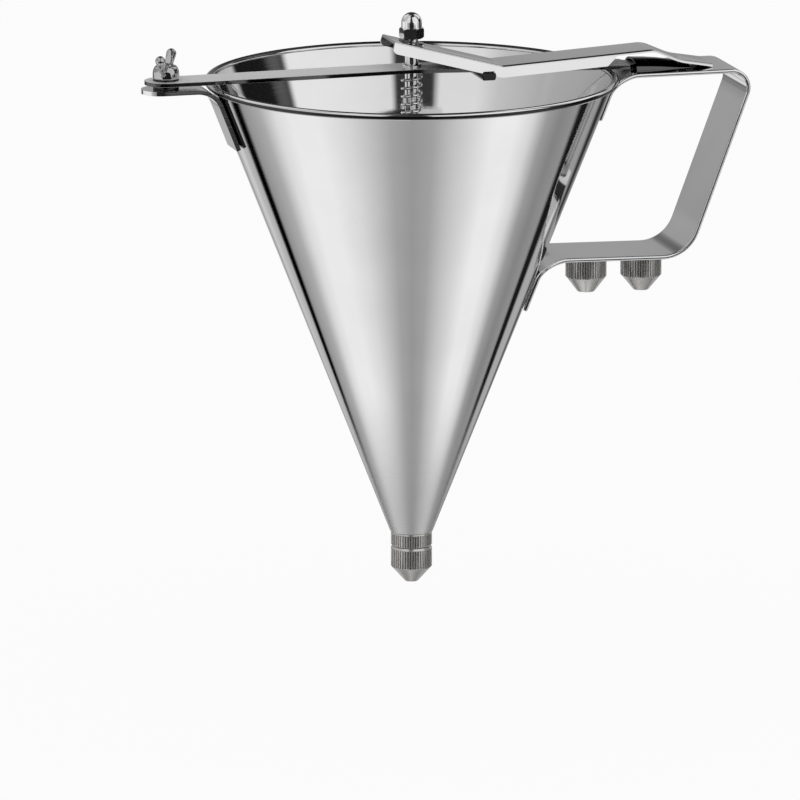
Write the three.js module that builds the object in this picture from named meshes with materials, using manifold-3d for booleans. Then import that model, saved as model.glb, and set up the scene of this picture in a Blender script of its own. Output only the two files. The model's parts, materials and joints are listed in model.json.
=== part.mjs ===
// Hand-held batter dispenser: a sheet funnel whose sprung outlet valve is lifted by a thumb lever.
// Millimetres, +Z up. While the pieces are made, the funnel's axis is X = 0, Y = 0, the centre of the
// rolled rim is Z = 0 and the handle points along +X. The exported group then moves the origin to the
// middle of the hand grip. The lever is shown pressed, with the valve open.
import * as THREE from "three";
import { mergeVertices } from "three/addons/utils/BufferGeometryUtils.js";
import Module from "manifold-3d";

// Clearances and fineness
const clearance = 0.3; // between pieces that slide, turn or fit into each other
const overrun = 5; // how far a cutting solid reaches past what it cuts
const weldTolerance = 1e-5; // points closer than this are one point
const roundSides = 28; // facets of a small turned piece
const coneSides = 84; // facets of the funnel
const bendSteps = 6; // steps in each bend of a strip
const overlapShare = 0.5; // how far joined solids sink into each other, as a share of a wall

// Funnel
const rimDiameter = 190;
const beadDiameter = 3.2;
const beadSteps = 10;
const beadProud = 0.2; // how far the rolled bead's centre lies outside the wall's outer face
const sheet = 1;
const coneHeight = 212;
const outletDiameter = 19.9;

// Outlet ferrule and its screw boss
const ferruleDiameter = 19.1;
const ferruleHeight = 6.9;
const spigotHeight = 3;
const outletBore = 9;
const bossDiameter = 14;
const bossLength = 6.4;

// Screw-on nozzles
const nozzleDiameter = 19.1;
const nozzleKnurlHeight = 9.6;
const nozzleHeight = 16.8;
const socketDepth = 7.5;
const tipWall = 0.8;
const tipLand = 1; // length of the straight orifice
const orifices = { fitted: 4, spareInner: 6, spareOuter: 5 };
const knurlRibs = 40;
const knurlDepth = 0.35;
const knurlChamfer = 0.8;
const gasketThickness = 0.8;

// Handle strip
const stripThickness = 2;
const handleWidth = 38;
const handleTopFace = 1.2;
const handleLowerFace = -83.5; // where the lower run meets the cone
const lowerRunDrop = 1.4; // from there to the lower corner
const upperTailLength = 22.8; // down the cone from the level of the top face
const lowerTailLength = 25.7; // down the cone from the level of the lower run's top face
const gripCornerReach = 159.7;
const gripLeanDegrees = 20.5;
const upperTailBend = 14;
const topCornerBend = 8;
const lowCornerBend = 17.5;
const lowerTailBend = 13;
const widthSteps = 8;

// Spare nozzle studs under the handle
const innerSpareReach = 83.8;
const spareSpacing = 26.6;

// Left bracket and clamp
const bracketWidth = 18;
const bracketEndLength = 11.5; // beyond the clamp stud
const bracketTopFace = 1.6;
const bracketTailLength = 31; // down the cone from the level of the bracket's top face
const bracketBend = 12.2;
const studReach = 115.8;
const studDiameter = 6;
const studLength = 10.8;
const washerDiameter = 12;
const spacerThickness = 2;
const lockWasherThickness = 0.7;
const lockWasherSlit = 1.2;

// Wing nut
const wingHubDiameter = 12.2;
const wingHubWaist = 2; // height up to which the hub is straight
const wingHubHeight = 6.2;
const wingNeckDiameter = 8.2;
const wingThickness = 2.8;
const wingFoot = 2;
const wingReach = 12.6;
const wingTop = 12.2;
const wingTipWidth = 4.6;
const wingTurnDegrees = 62.5;

// Cross bar
const barWidth = 18.5;
const barThickness = 1.8;
const barTopAtRod = 6.4;
const barEndLength = 9.9; // beyond the clamp stud
const barLapLength = 14.8; // flat length from the clamp stud towards the rod
const barBend = 40;
const shoulderReach = 102;
const tongueWidth = 10;
const tongueLength = 16;

// Keeper on the handle
const keeperGap = 2.9; // from the bar's shoulder to the keeper's mouth
const keeperLength = 26;
const keeperWidth = 20;
const keeperThickness = 1;
const keeperMouthHeight = 4.5;
const keeperHeightShares = [1, 0.93, 0.78, 0.54, 0.33]; // of the mouth's height, in even steps
const keeperSteps = 12;

// Valve rod and what it carries
const rodDiameter = 6;
const valveLift = 4.97;
const rodGrooveDiameter = 4.4;
const bushingFlangeDiameter = 9.2;
const bushingFlangeThickness = 1;
const bushingSleeveDiameter = 7.4;
const clipThickness = 1;
const clipDiameter = 10;
const seatWasherThickness = 1.2;

// Return spring
const springDiameter = 10;
const wireDiameter = 1.2;
const springPitch = 3.76;
const springCurls = 12;
const curlSteps = 8;
const wireSides = 5;
const springTurnBend = 1.4;
const springTurnSteps = 3;

// Plug and seal
const plugDiameter = 13;
const plugHeight = 6;
const plugFloor = 1.5; // between the seal and the rod's bore
const plugChamfer = 2.5;
const noseDiameter = 6;
const noseLength = 6;
const noseTipDiameter = 2;
const sealThickness = 1.6;
const sealDiameter = 12.4;

// Thumb lever
const leverSheet = 1.2;
const leverWidth = 23;
const flangeDepth = 5.3;
const heelReach = -10.95;
const heelHeight = 19.5;
const valleyReach = 40.2;
const valleyHeight = 5.9;
const peakBeyondMouth = 8.1; // from the keeper's mouth, which the lever arches over
const peakHeight = 10.2;
const kneeBeyondPeak = 12.5;
const kneeHeight = 4.75;
const tipBeyondKnee = 15.5;
const valleyBend = 5;
const peakBend = 12;
const kneeBend = 25;
const flangeBeyondValley = 55.6;
const flangeEndSlant = 5.5;
const slotWidth = 7;
const slotHeelEnd = -4;
const slotThumbEnd = 6.2;
const heelCorner = 2.4;

// Pivot
const pivotReach = 33.5;
const pivotHeight = 2;
const pivotDiameter = 6.4;
const pivotThickness = 3.2; // over the flats
const leverSwingDegrees = 8.5; // that the notches for the pin leave room for
const pivotLength = 26;

// Cap washer and cap nut
const capWasherThickness = 0.5;
const capWasherTiltDegrees = 11.9;
const capWasherSeat = 0.1; // least gap between washer and lever or nut while the lever swings
const capNutAcrossFlats = 10;
const capNutHeight = 12;
const capNutHexHeight = 5;
const capNutDomeDiameter = 9.5;
const capNutBoreDepth = 9;
const capNutTurnDegrees = -22.2;

// Values that several pieces share
const rimRadius = rimDiameter / 2;
const beadRadius = beadDiameter / 2;
const beadCentre = rimRadius - beadRadius;
const wallRadius = beadCentre - beadProud;
const outletRadius = outletDiameter / 2;
const coneSlope = (wallRadius - outletRadius) / coneHeight;
const coneAngle = Math.atan(coneSlope);
const wallAcross = sheet / Math.cos(coneAngle);
const rodRadius = rodDiameter / 2;
const slidingRadius = rodRadius + clearance;
const tongueReach = shoulderReach + tongueLength;
const keeperReach = shoulderReach + keeperGap;
const peakReach = keeperReach + peakBeyondMouth;
const kneeReach = peakReach + kneeBeyondPeak;

// Distance from the axis of a line at the given distance outside the cone's outer face
function besideCone(height, distance) {
  return wallRadius + coneSlope * height + distance / Math.cos(coneAngle);
}

// Same geometry with shared points merged and the triangles that this flattens left out
function welded(geometry) {
  geometry.deleteAttribute("normal");
  geometry.deleteAttribute("uv");
  const merged = mergeVertices(geometry, weldTolerance);
  const corners = merged.index.array;
  const kept = [];
  for (let i = 0; i < corners.length; i += 3) {
    const [a, b, c] = [corners[i], corners[i + 1], corners[i + 2]];
    if (a !== b && b !== c && c !== a) kept.push(a, b, c);
  }
  merged.setIndex(kept);
  return merged;
}

const wasm = await Module();
wasm.setup();

// Solid for joining and cutting
function solid(geometry) {
  const merged = welded(geometry);
  const vertProperties = new Float32Array(merged.attributes.position.array);
  const triVerts = new Uint32Array(merged.index.array);
  return new wasm.Manifold(new wasm.Mesh({ numProp: 3, vertProperties, triVerts }));
}

// Geometry of a joined or cut solid
function geometryOf(body) {
  const mesh = body.getMesh();
  const geometry = new THREE.BufferGeometry();
  geometry.setAttribute("position", new THREE.BufferAttribute(new Float32Array(mesh.vertProperties), 3));
  geometry.setIndex(Array.from(mesh.triVerts));
  return geometry;
}

// Piece turned about Z from a profile of radius and height, which runs up its outer side
function turned(profile, sides = roundSides) {
  const points = profile.map(([radius, height]) => new THREE.Vector2(radius, height));
  return new THREE.LatheGeometry(points, sides).rotateX(Math.PI / 2);
}

// Ring turned about Z
function ring(inner, outer, bottom, top, sides = roundSides) {
  return turned([[inner, bottom], [outer, bottom], [outer, top], [inner, top], [inner, bottom]], sides);
}

// Round bar about Z
function bar(radius, bottom, top, sides = roundSides) {
  return turned([[0, bottom], [radius, bottom], [radius, top], [0, top]], sides);
}

// Plate with its outline seen along Z
function plate(outline, bottom, top) {
  const shape = new THREE.Shape(outline.map(([x, y]) => new THREE.Vector2(x, y)));
  const flat = new THREE.ExtrudeGeometry(shape, { depth: top - bottom, bevelEnabled: false });
  return flat.translate(0, 0, bottom);
}

// Plate with its outline seen along Y, as wide as given, with its middle at the given Y
function sideways(outline, width, middle = 0) {
  const shape = new THREE.Shape(outline.map(([x, z]) => new THREE.Vector2(x, z)));
  const flat = new THREE.ExtrudeGeometry(shape, { depth: width, bevelEnabled: false });
  return flat.rotateX(Math.PI / 2).translate(0, middle + width / 2, 0);
}

// Half circle of points round a centre, from one angle on
function halfCircle(x, y, radius, from, steps = roundSides / 2) {
  return Array.from({ length: steps + 1 }, (_, i) => {
    const angle = from + (Math.PI * i) / steps;
    return [x + radius * Math.cos(angle), y + radius * Math.sin(angle)];
  });
}

// Bent line through corners in a plane, each inner corner rounded with its own radius. Every point keeps
// its direction, the number of its bend and how far through that bend it lies.
function bentLine(corners, radii) {
  const at = corners.map(([x, z]) => new THREE.Vector2(x, z));
  const last = at.length - 1;
  const legs = at.slice(1).map((point, i) => point.clone().sub(at[i]).normalize());
  const line = [{ point: at[0], along: legs[0], bend: 0, through: 1 }];
  for (let k = 1; k < last; k += 1) {
    const [before, after] = [legs[k - 1], legs[k]];
    const angle = Math.atan2(before.cross(after), before.dot(after));
    const radius = radii[k - 1];
    const start = at[k].clone().addScaledVector(before, -radius * Math.tan(Math.abs(angle) / 2));
    const side = new THREE.Vector2(-before.y, before.x).multiplyScalar(Math.sign(angle) * radius);
    const centre = start.clone().add(side);
    for (let i = 0; i <= bendSteps; i += 1) {
      const through = i / bendSteps;
      const point = start.clone().rotateAround(centre, angle * through);
      const along = before.clone().rotateAround(new THREE.Vector2(), angle * through);
      line.push({ point, along, bend: k, through });
    }
  }
  line.push({ point: at[last], along: legs[last - 1], bend: last, through: 0 });
  return line;
}

// Points at a distance to the left of a bent line
function beside(line, distance) {
  return line.map(({ point, along }) => [point.x - distance * along.y, point.y + distance * along.x]);
}

// Side view of a strip of even thickness whose middle follows a bent line
function stripOutline(line, thickness) {
  return [...beside(line, -thickness / 2), ...beside(line, thickness / 2).reverse()];
}

// Height of a line of points at a place along X
function heightAt(points, x) {
  const next = points.findIndex(([px]) => px >= x);
  const [[x0, z0], [x1, z1]] = [points[next - 1], points[next]];
  return z0 + ((z1 - z0) * (x - x0)) / (x1 - x0);
}

// Closed sheet between two faces that are grids of points. place(row, column, side) gives a point of the
// upper face for side 1 and of the lower face for side -1. Rows follow X, columns follow Y.
function sheetBetween(rows, columns, place) {
  const positions = [];
  const index = [];
  const corner = (row, column, side) => 2 * (row * columns + column) + (side > 0 ? 1 : 0);
  const quad = (a, b, c, d) => index.push(a, b, c, a, c, d);
  for (let row = 0; row < rows; row += 1) {
    for (let column = 0; column < columns; column += 1) {
      positions.push(...place(row, column, -1), ...place(row, column, 1));
    }
  }
  const [low, high] = [(r, c) => corner(r, c, -1), (r, c) => corner(r, c, 1)];
  const [lastRow, lastColumn] = [rows - 1, columns - 1];
  for (let r = 0; r < lastRow; r += 1) {
    for (let c = 0; c < lastColumn; c += 1) {
      quad(high(r, c), high(r + 1, c), high(r + 1, c + 1), high(r, c + 1));
      quad(low(r, c), low(r, c + 1), low(r + 1, c + 1), low(r + 1, c));
    }
    quad(low(r, 0), low(r + 1, 0), high(r + 1, 0), high(r, 0));
    quad(low(r, lastColumn), high(r, lastColumn), high(r + 1, lastColumn), low(r + 1, lastColumn));
  }
  for (let c = 0; c < lastColumn; c += 1) {
    quad(low(0, c), high(0, c), high(0, c + 1), low(0, c + 1));
    quad(low(lastRow, c), low(lastRow, c + 1), high(lastRow, c + 1), high(lastRow, c));
  }
  const geometry = new THREE.BufferGeometry();
  geometry.setAttribute("position", new THREE.Float32BufferAttribute(positions, 3));
  geometry.setIndex(index);
  return geometry;
}

// Angle, seen from the bead's centre, at which a wall enters the bead from below. The wall's line
// crosses the rim's plane at the given distance inside that centre.
function beadEntry(inset) {
  const a = 1 + coneSlope ** 2;
  const b = -2 * inset * coneSlope;
  const c = inset ** 2 - beadRadius ** 2;
  const height = (-b - Math.sqrt(b ** 2 - 4 * a * c)) / (2 * a);
  return Math.atan2(height, coneSlope * height - inset);
}

// Sheet cone with its rim rolled into a bead
function funnelCone() {
  const from = beadEntry(beadProud);
  const to = beadEntry(beadProud + wallAcross) + 2 * Math.PI;
  const bead = Array.from({ length: beadSteps + 1 }, (_, i) => {
    const angle = from + ((to - from) * i) / beadSteps;
    return [beadCentre + beadRadius * Math.cos(angle), beadRadius * Math.sin(angle)];
  });
  const foot = [outletRadius, -coneHeight];
  return turned([foot, ...bead, [outletRadius - wallAcross, -coneHeight], foot], coneSides);
}

// Ring of straight ribs about Z
function knurl(radius, bottom, top) {
  const outline = Array.from({ length: 2 * knurlRibs }, (_, i) => {
    const angle = (Math.PI * i) / knurlRibs;
    const reach = i % 2 ? radius - knurlDepth : radius;
    return [reach * Math.cos(angle), reach * Math.sin(angle)];
  });
  return solid(plate(outline, bottom, top));
}

// Heights of the ferrule, from the cone's foot down
const ferruleTop = -coneHeight;
const ferruleFoot = ferruleTop - ferruleHeight;
const seatHeight = ferruleTop + spigotHeight;
const spigotRadius = outletRadius - wallAcross - clearance;

// Knurled ring under the cone, with a spigot inside the cone and the screw boss below
function outletFerrule() {
  const radius = ferruleDiameter / 2;
  const bossRadius = bossDiameter / 2;
  const bossFoot = ferruleFoot - bossLength;
  const plain = radius - knurlDepth;
  const body = turned([
    [outletBore / 2, bossFoot],
    [bossRadius, bossFoot],
    [bossRadius, ferruleFoot],
    [radius - knurlChamfer, ferruleFoot],
    [plain, ferruleFoot + knurlChamfer - knurlDepth],
    [plain, ferruleTop - knurlChamfer + knurlDepth],
    [radius - knurlChamfer, ferruleTop],
    [spigotRadius, ferruleTop],
    [spigotRadius, seatHeight],
    [outletBore / 2, seatHeight],
    [outletBore / 2, bossFoot],
  ]);
  const ribs = knurl(radius, ferruleFoot + knurlChamfer, ferruleTop - knurlChamfer);
  const bore = solid(bar(outletBore / 2, bossFoot - overrun, seatHeight + overrun));
  return geometryOf(solid(body).add(ribs).subtract(bore));
}

// Screw-on nozzle that hangs from Z = 0, with a socket for the boss above and its orifice below
function nozzle(orifice) {
  const radius = nozzleDiameter / 2;
  const plain = radius - knurlDepth;
  const socketRadius = bossDiameter / 2 + clearance;
  const orificeRadius = orifice / 2;
  const tipRadius = orificeRadius + tipWall;
  const body = turned([
    [0, -nozzleHeight],
    [tipRadius, -nozzleHeight],
    [radius, -nozzleKnurlHeight],
    [plain, -nozzleKnurlHeight + knurlDepth],
    [plain, -knurlChamfer + knurlDepth],
    [radius - knurlChamfer, 0],
    [0, 0],
  ]);
  const ribs = knurl(radius, -nozzleKnurlHeight, -knurlChamfer);
  const hollow = turned([
    [0, -nozzleHeight - overrun],
    [orificeRadius, -nozzleHeight - overrun],
    [orificeRadius, -nozzleHeight + tipLand],
    [outletBore / 2, -socketDepth - tipLand],
    [outletBore / 2, -socketDepth],
    [socketRadius, -socketDepth],
    [socketRadius, overrun],
    [0, overrun],
  ]);
  return geometryOf(solid(body).add(ribs).subtract(solid(hollow)));
}

// Flat ring on the floor of the fitted nozzle's socket
function nozzleGasket() {
  return ring(outletBore / 2, bossDiameter / 2, -socketDepth, -socketDepth + gasketThickness);
}

// Boss under the handle that a spare nozzle screws on
function spareStud() {
  return bar(bossDiameter / 2, -bossLength, 0);
}

// Heights and places along the handle, for the middle of the strip
const tailOffset = clearance + stripThickness / 2;
const topRun = handleTopFace - stripThickness / 2;
const lowerRun = handleLowerFace - stripThickness / 2;
const lowerRunEnd = lowerRun - lowerRunDrop;
const gripLean = Math.tan(THREE.MathUtils.degToRad(gripLeanDegrees));
const lowCornerReach = gripCornerReach - (topRun - lowerRunEnd) * gripLean;
const upperTailEnd = handleTopFace - upperTailLength * Math.cos(coneAngle);
const lowerTailEnd = handleLowerFace - lowerTailLength * Math.cos(coneAngle);

// Middle of the handle strip, from the upper tail round to the lower one
function handleLine() {
  return bentLine(
    [
      [besideCone(upperTailEnd, tailOffset), upperTailEnd],
      [besideCone(topRun, tailOffset), topRun],
      [gripCornerReach, topRun],
      [lowCornerReach, lowerRunEnd],
      [besideCone(lowerRun, tailOffset), lowerRun],
      [besideCone(lowerTailEnd, tailOffset), lowerTailEnd],
    ],
    [upperTailBend, topCornerBend, lowCornerBend, lowerTailBend],
  );
}

// Height of the lower run's underside at a distance from the axis
function undersideAt(reach) {
  const start = besideCone(lowerRun, tailOffset);
  const slope = lowerRunDrop / (lowCornerReach - start);
  return lowerRun - (reach - start) * slope - (stripThickness / 2) * Math.hypot(1, slope);
}

// D-shaped handle of one strip, whose two tails are curved to lie round the cone
function handleStrip() {
  const line = handleLine();
  const lastBend = line[line.length - 1].bend;
  const curvedShare = ({ bend, through }) => {
    if (bend === 0 || bend === lastBend) return 1;
    if (bend === 1) return THREE.MathUtils.smoothstep(1 - through, 0, 1);
    if (bend === lastBend - 1) return THREE.MathUtils.smoothstep(through, 0, 1);
    return 0;
  };
  const faces = { [-1]: beside(line, -stripThickness / 2), [1]: beside(line, stripThickness / 2) };
  const place = (row, column, side) => {
    const y = handleWidth * (column / widthSteps - 1 / 2);
    const [x, z] = faces[side][row];
    const curve = x - Math.sqrt(x ** 2 - y ** 2);
    return [x - curvedShare(line[row]) * curve, y, z];
  };
  return sheetBetween(line.length, widthSteps + 1, place);
}

// Side view of the cross bar's middle, from the clamp to the end of its tongue
const barLevelAtClamp = bracketTopFace + spacerThickness + barThickness / 2;
const barLevelOnHandle = handleTopFace + barThickness / 2;
const barLine = bentLine(
  [
    [-studReach - barEndLength, barLevelAtClamp],
    [barLapLength - studReach, barLevelAtClamp],
    [0, barTopAtRod - barThickness / 2],
    [tongueReach, barLevelOnHandle],
  ],
  [barBend, barBend],
);
const barUnderside = beside(barLine, -barThickness / 2);
const barTop = beside(barLine, barThickness / 2);
const bushingHole = bushingSleeveDiameter / 2 + clearance;

// Bar across the rim, round at the clamp and narrowed to a tongue under the keeper
function crossBar() {
  const half = barWidth / 2;
  const tongue = tongueWidth / 2;
  const outline = [
    ...halfCircle(half - studReach - barEndLength, 0, half, Math.PI / 2),
    [shoulderReach, -half],
    [shoulderReach + half - tongue, -tongue],
    [tongueReach, -tongue],
    [tongueReach, tongue],
    [shoulderReach + half - tongue, tongue],
    [shoulderReach, half],
  ];
  const side = solid(sideways(stripOutline(barLine, barThickness), barWidth + overrun));
  const plan = solid(plate(outline, -overrun, barTopAtRod + overrun));
  const rodHole = solid(bar(bushingHole, -overrun, barTopAtRod + overrun));
  const studHole = solid(bar(studDiameter / 2 + clearance, -overrun, barTopAtRod + overrun));
  const cut = side.intersect(plan).subtract(rodHole);
  return geometryOf(cut.subtract(studHole.translate(-studReach, 0, 0)));
}

// Arched plate on the handle that holds the bar's tongue down
function barKeeper() {
  const lastRow = keeperHeightShares.length - 1;
  const place = (row, column, side) => {
    const inset = side > 0 ? 0 : keeperThickness;
    const angle = Math.PI * (column / keeperSteps - 1 / 2);
    const height = keeperMouthHeight * keeperHeightShares[row] - inset;
    const x = keeperReach + (keeperLength * row) / lastRow;
    const y = (keeperWidth / 2 - inset) * Math.sin(angle);
    return [x, y, handleTopFace + height * Math.cos(angle)];
  };
  return sheetBetween(lastRow + 1, keeperSteps + 1, place);
}

// Strip from the clamp over the rim and down the cone
function leftBracket() {
  const half = bracketWidth / 2;
  const level = bracketTopFace - stripThickness / 2;
  const tailEnd = bracketTopFace - bracketTailLength * Math.cos(coneAngle);
  const line = bentLine(
    [
      [-studReach - bracketEndLength, level],
      [-besideCone(level, tailOffset), level],
      [-besideCone(tailEnd, tailOffset), tailEnd],
    ],
    [bracketBend],
  );
  const side = solid(sideways(stripOutline(line, stripThickness), bracketWidth + overrun));
  const end = half - studReach - bracketEndLength;
  const outline = [...halfCircle(end, 0, half, Math.PI / 2), [0, -half], [0, half]];
  const plan = solid(plate(outline, tailEnd - overrun, bracketTopFace + overrun));
  return geometryOf(side.intersect(plan));
}

// Stud that stands on the bracket
function clampStud() {
  return bar(studDiameter / 2, bracketTopFace, bracketTopFace + studLength);
}

// Plain washer between bracket and bar
function spacerWasher() {
  const bottom = bracketTopFace;
  return ring(studDiameter / 2 + clearance, washerDiameter / 2, bottom, bottom + spacerThickness);
}

// Split washer under the wing nut
const lockWasherFoot = bracketTopFace + spacerThickness + barThickness;
const wingNutFoot = lockWasherFoot + lockWasherThickness;
function lockWasher() {
  const whole = ring(studDiameter / 2 + clearance, washerDiameter / 2, lockWasherFoot, wingNutFoot);
  const half = lockWasherSlit / 2;
  const outline = [[0, -half], [washerDiameter, -half], [washerDiameter, half], [0, half]];
  const slit = plate(outline, lockWasherFoot - overrun, wingNutFoot + overrun);
  return geometryOf(solid(whole).subtract(solid(slit)));
}

// One wing in the XZ plane, from inside the hub out to its round tip
function wing() {
  const hub = wingHubDiameter / 2;
  const tip = wingTipWidth / 2;
  const outline = [
    [hub * overlapShare, wingFoot],
    [hub, wingFoot],
    ...halfCircle(wingReach - tip, wingTop - tip, tip, -Math.PI / 4),
    [hub * overlapShare, wingHubHeight],
  ];
  return solid(sideways(outline, wingThickness));
}

// Wing nut, from the face that presses on the washer
function wingNut() {
  const hub = wingHubDiameter / 2;
  const bore = studDiameter / 2 + clearance;
  const neck = wingNeckDiameter / 2;
  const ball = Array.from({ length: bendSteps + 1 }, (_, i) => {
    const angle = (Math.PI * i) / (2 * bendSteps);
    const rise = (wingHubHeight - wingHubWaist) * Math.sin(angle);
    return [neck + (hub - neck) * Math.cos(angle), wingHubWaist + rise];
  });
  const body = turned([[0, 0], [hub, 0], ...ball, [0, wingHubHeight]]);
  const wings = wing().add(wing().rotate(0, 0, 180));
  const hole = solid(bar(bore, -overrun, wingTop + overrun));
  return geometryOf(solid(body).add(wings).subtract(hole));
}

// Sleeve in the bar that guides the rod, with a flange on top
function guideBushing() {
  const sleeve = bushingSleeveDiameter / 2;
  const flange = bushingFlangeDiameter / 2;
  const foot = heightAt(barUnderside, 0);
  return turned([
    [slidingRadius, foot],
    [sleeve, foot],
    [sleeve, barTopAtRod],
    [flange, barTopAtRod],
    [flange, barTopAtRod + bushingFlangeThickness],
    [slidingRadius, barTopAtRod + bushingFlangeThickness],
    [slidingRadius, foot],
  ]);
}

// Cross pin under the bar, flattened above and below, and filed down where the bar lies on it
function pivotPin() {
  const radius = pivotDiameter / 2;
  const half = pivotThickness / 2;
  const pin = solid(bar(radius, -pivotLength / 2, pivotLength / 2).rotateX(Math.PI / 2));
  const band = [[-radius, -half], [radius, -half], [radius, half], [-radius, half]];
  const flattened = pin.intersect(solid(sideways(band, pivotLength + overrun)));
  const flat = heightAt(barUnderside, pivotReach + radius);
  const outline = [
    [pivotReach - pivotDiameter, flat],
    [pivotReach + pivotDiameter, flat],
    [pivotReach + pivotDiameter, flat + pivotDiameter],
    [pivotReach - pivotDiameter, flat + pivotDiameter],
  ];
  const filed = solid(sideways(outline, barWidth + 2 * clearance));
  return geometryOf(flattened.translate(pivotReach, 0, pivotHeight).subtract(filed));
}

// Middle of the lever's web, from the heel over the rod to the thumb end
const thumbLevel = handleTopFace + clearance + leverSheet / 2;
const leverLine = bentLine(
  [
    [heelReach, heelHeight],
    [valleyReach, valleyHeight],
    [peakReach, peakHeight],
    [kneeReach, kneeHeight],
    [kneeReach + tipBeyondKnee, thumbLevel],
  ],
  [valleyBend, peakBend, kneeBend],
);
const webTop = beside(leverLine, leverSheet / 2);

// Part of a line of points up to a place along X
function until(points, x) {
  return [...points.filter(([px]) => px < x), [x, heightAt(points, x)]];
}

// Side flange of the lever, between the web and its rounded foot
function leverFlange() {
  const end = valleyReach + flangeBeyondValley;
  const upper = until(beside(leverLine, 0), end);
  const foot = until(beside(leverLine, leverSheet / 2 - flangeDepth), end - flangeEndSlant);
  const [heel, next] = foot;
  const along = new THREE.Vector2(next[0] - heel[0], next[1] - heel[1]).setLength(heelCorner);
  const heelTop = upper[0];
  const rise = new THREE.Vector2(heelTop[0] - heel[0], heelTop[1] - heel[1]).setLength(heelCorner);
  const rounded = [
    [heel[0] + rise.x, heel[1] + rise.y],
    [heel[0] + along.x, heel[1] + along.y],
  ];
  return [...rounded, ...foot.slice(1), ...upper.reverse()];
}

// Room for the flattened pin in the lever's flanges, over the whole of the lever's swing
function pinNotch() {
  const radius = pivotDiameter / 2 + clearance;
  const rise = (pivotDiameter / 2) * Math.sin(THREE.MathUtils.degToRad(leverSwingDegrees));
  const half = pivotThickness / 2 + rise + clearance;
  const round = solid(bar(radius, -leverWidth, leverWidth).rotateX(Math.PI / 2));
  const band = [[-radius, -half], [radius, -half], [radius, half], [-radius, half]];
  const notch = round.intersect(solid(sideways(band, 2 * (leverWidth + overrun))));
  return notch.translate(pivotReach, 0, pivotHeight);
}

// Thumb lever: a channel over the bar that tips on the pivot pin and lifts the rod
function lever() {
  const web = solid(sideways(stripOutline(leverLine, leverSheet), leverWidth));
  const middle = (leverWidth - leverSheet) / 2;
  const flange = leverFlange();
  const sides = solid(sideways(flange, leverSheet, middle)).add(
    solid(sideways(flange, leverSheet, -middle)),
  );
  const round = slotWidth / 2;
  const slot = [
    ...halfCircle(slotHeelEnd + round, 0, round, Math.PI / 2),
    ...halfCircle(slotThumbEnd - round, 0, round, -Math.PI / 2),
  ];
  const slotCut = solid(plate(slot, 0, heelHeight + overrun));
  return geometryOf(web.add(sides).subtract(slotCut).subtract(pinNotch()));
}

// Heights on the rod, from the lever's web up and from the bar down
const capTilt = THREE.MathUtils.degToRad(capWasherTiltDegrees);
const washerRise = (washerDiameter / 2) * Math.sin(capTilt);
const webAtWasherEdge = heightAt(webTop, -(washerDiameter / 2) * Math.cos(capTilt));
const capWasherFoot = webAtWasherEdge + capWasherSeat - washerRise;
const nutCorner = capNutAcrossFlats / 2 / Math.cos(Math.PI / 6);
const capNutFoot =
  capWasherFoot + capWasherThickness / Math.cos(capTilt) + nutCorner * Math.tan(capTilt) + capWasherSeat;
const rodTop = capNutFoot + capNutBoreDepth - clearance;
const springTop = heightAt(barUnderside, 0) - clearance;
const springTail = wireDiameter + springTurnBend;
const springLength = springCurls * springPitch + 2 * springTail;
const seatWasherTop = springTop - springLength - clearance;
const clipTop = seatWasherTop - seatWasherThickness;
const sealFoot = seatHeight + clearance + valveLift;
const plugFoot = sealFoot + sealThickness;
const rodFoot = plugFoot + plugFloor + clearance;

// Rod from the plug to the cap nut, with a groove for the retaining clip
function valveRod() {
  const groove = rodGrooveDiameter / 2;
  const grooveTop = clipTop + clearance / 2;
  const grooveFoot = clipTop - clipThickness - clearance / 2;
  return turned([
    [0, rodFoot],
    [rodRadius, rodFoot],
    [rodRadius, grooveFoot],
    [groove, grooveFoot],
    [groove, grooveTop],
    [rodRadius, grooveTop],
    [rodRadius, rodTop],
    [0, rodTop],
  ]);
}

// Plug on the rod's foot, with a nose that guides it into the outlet
function valvePlug() {
  const radius = plugDiameter / 2;
  const plugTop = plugFoot + plugHeight;
  const noseFoot = sealFoot - noseLength;
  const body = turned([
    [0, noseFoot],
    [noseTipDiameter / 2, noseFoot],
    [noseDiameter / 2, sealFoot],
    [noseDiameter / 2, plugFoot],
    [radius, plugFoot],
    [radius, plugTop - plugChamfer],
    [radius - plugChamfer, plugTop],
    [0, plugTop],
  ]);
  const bore = solid(bar(slidingRadius, plugFoot + plugFloor, plugTop + overrun));
  return geometryOf(solid(body).subtract(bore));
}

// Soft ring under the plug
function plugSeal() {
  return ring(noseDiameter / 2 + clearance, sealDiameter / 2, sealFoot, plugFoot);
}

// Washer that the spring stands on
function seatWasher() {
  return ring(slidingRadius, washerDiameter / 2, clipTop, seatWasherTop);
}

// Open ring in the rod's groove
function retainingClip() {
  const inner = rodGrooveDiameter / 2 + clearance;
  const whole = solid(ring(inner, clipDiameter / 2, clipTop - clipThickness, clipTop));
  const mouth = [[0, -inner], [clipDiameter, -inner], [clipDiameter, inner], [0, inner]];
  return geometryOf(whole.subtract(solid(plate(mouth, clipTop - clipDiameter, clipTop + overrun))));
}

// Washer that lies on the lever under the cap nut, tilted as the lever's web is halfway through its swing
function capWasher() {
  return ring(slidingRadius + clearance, washerDiameter / 2, 0, capWasherThickness);
}

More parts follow.
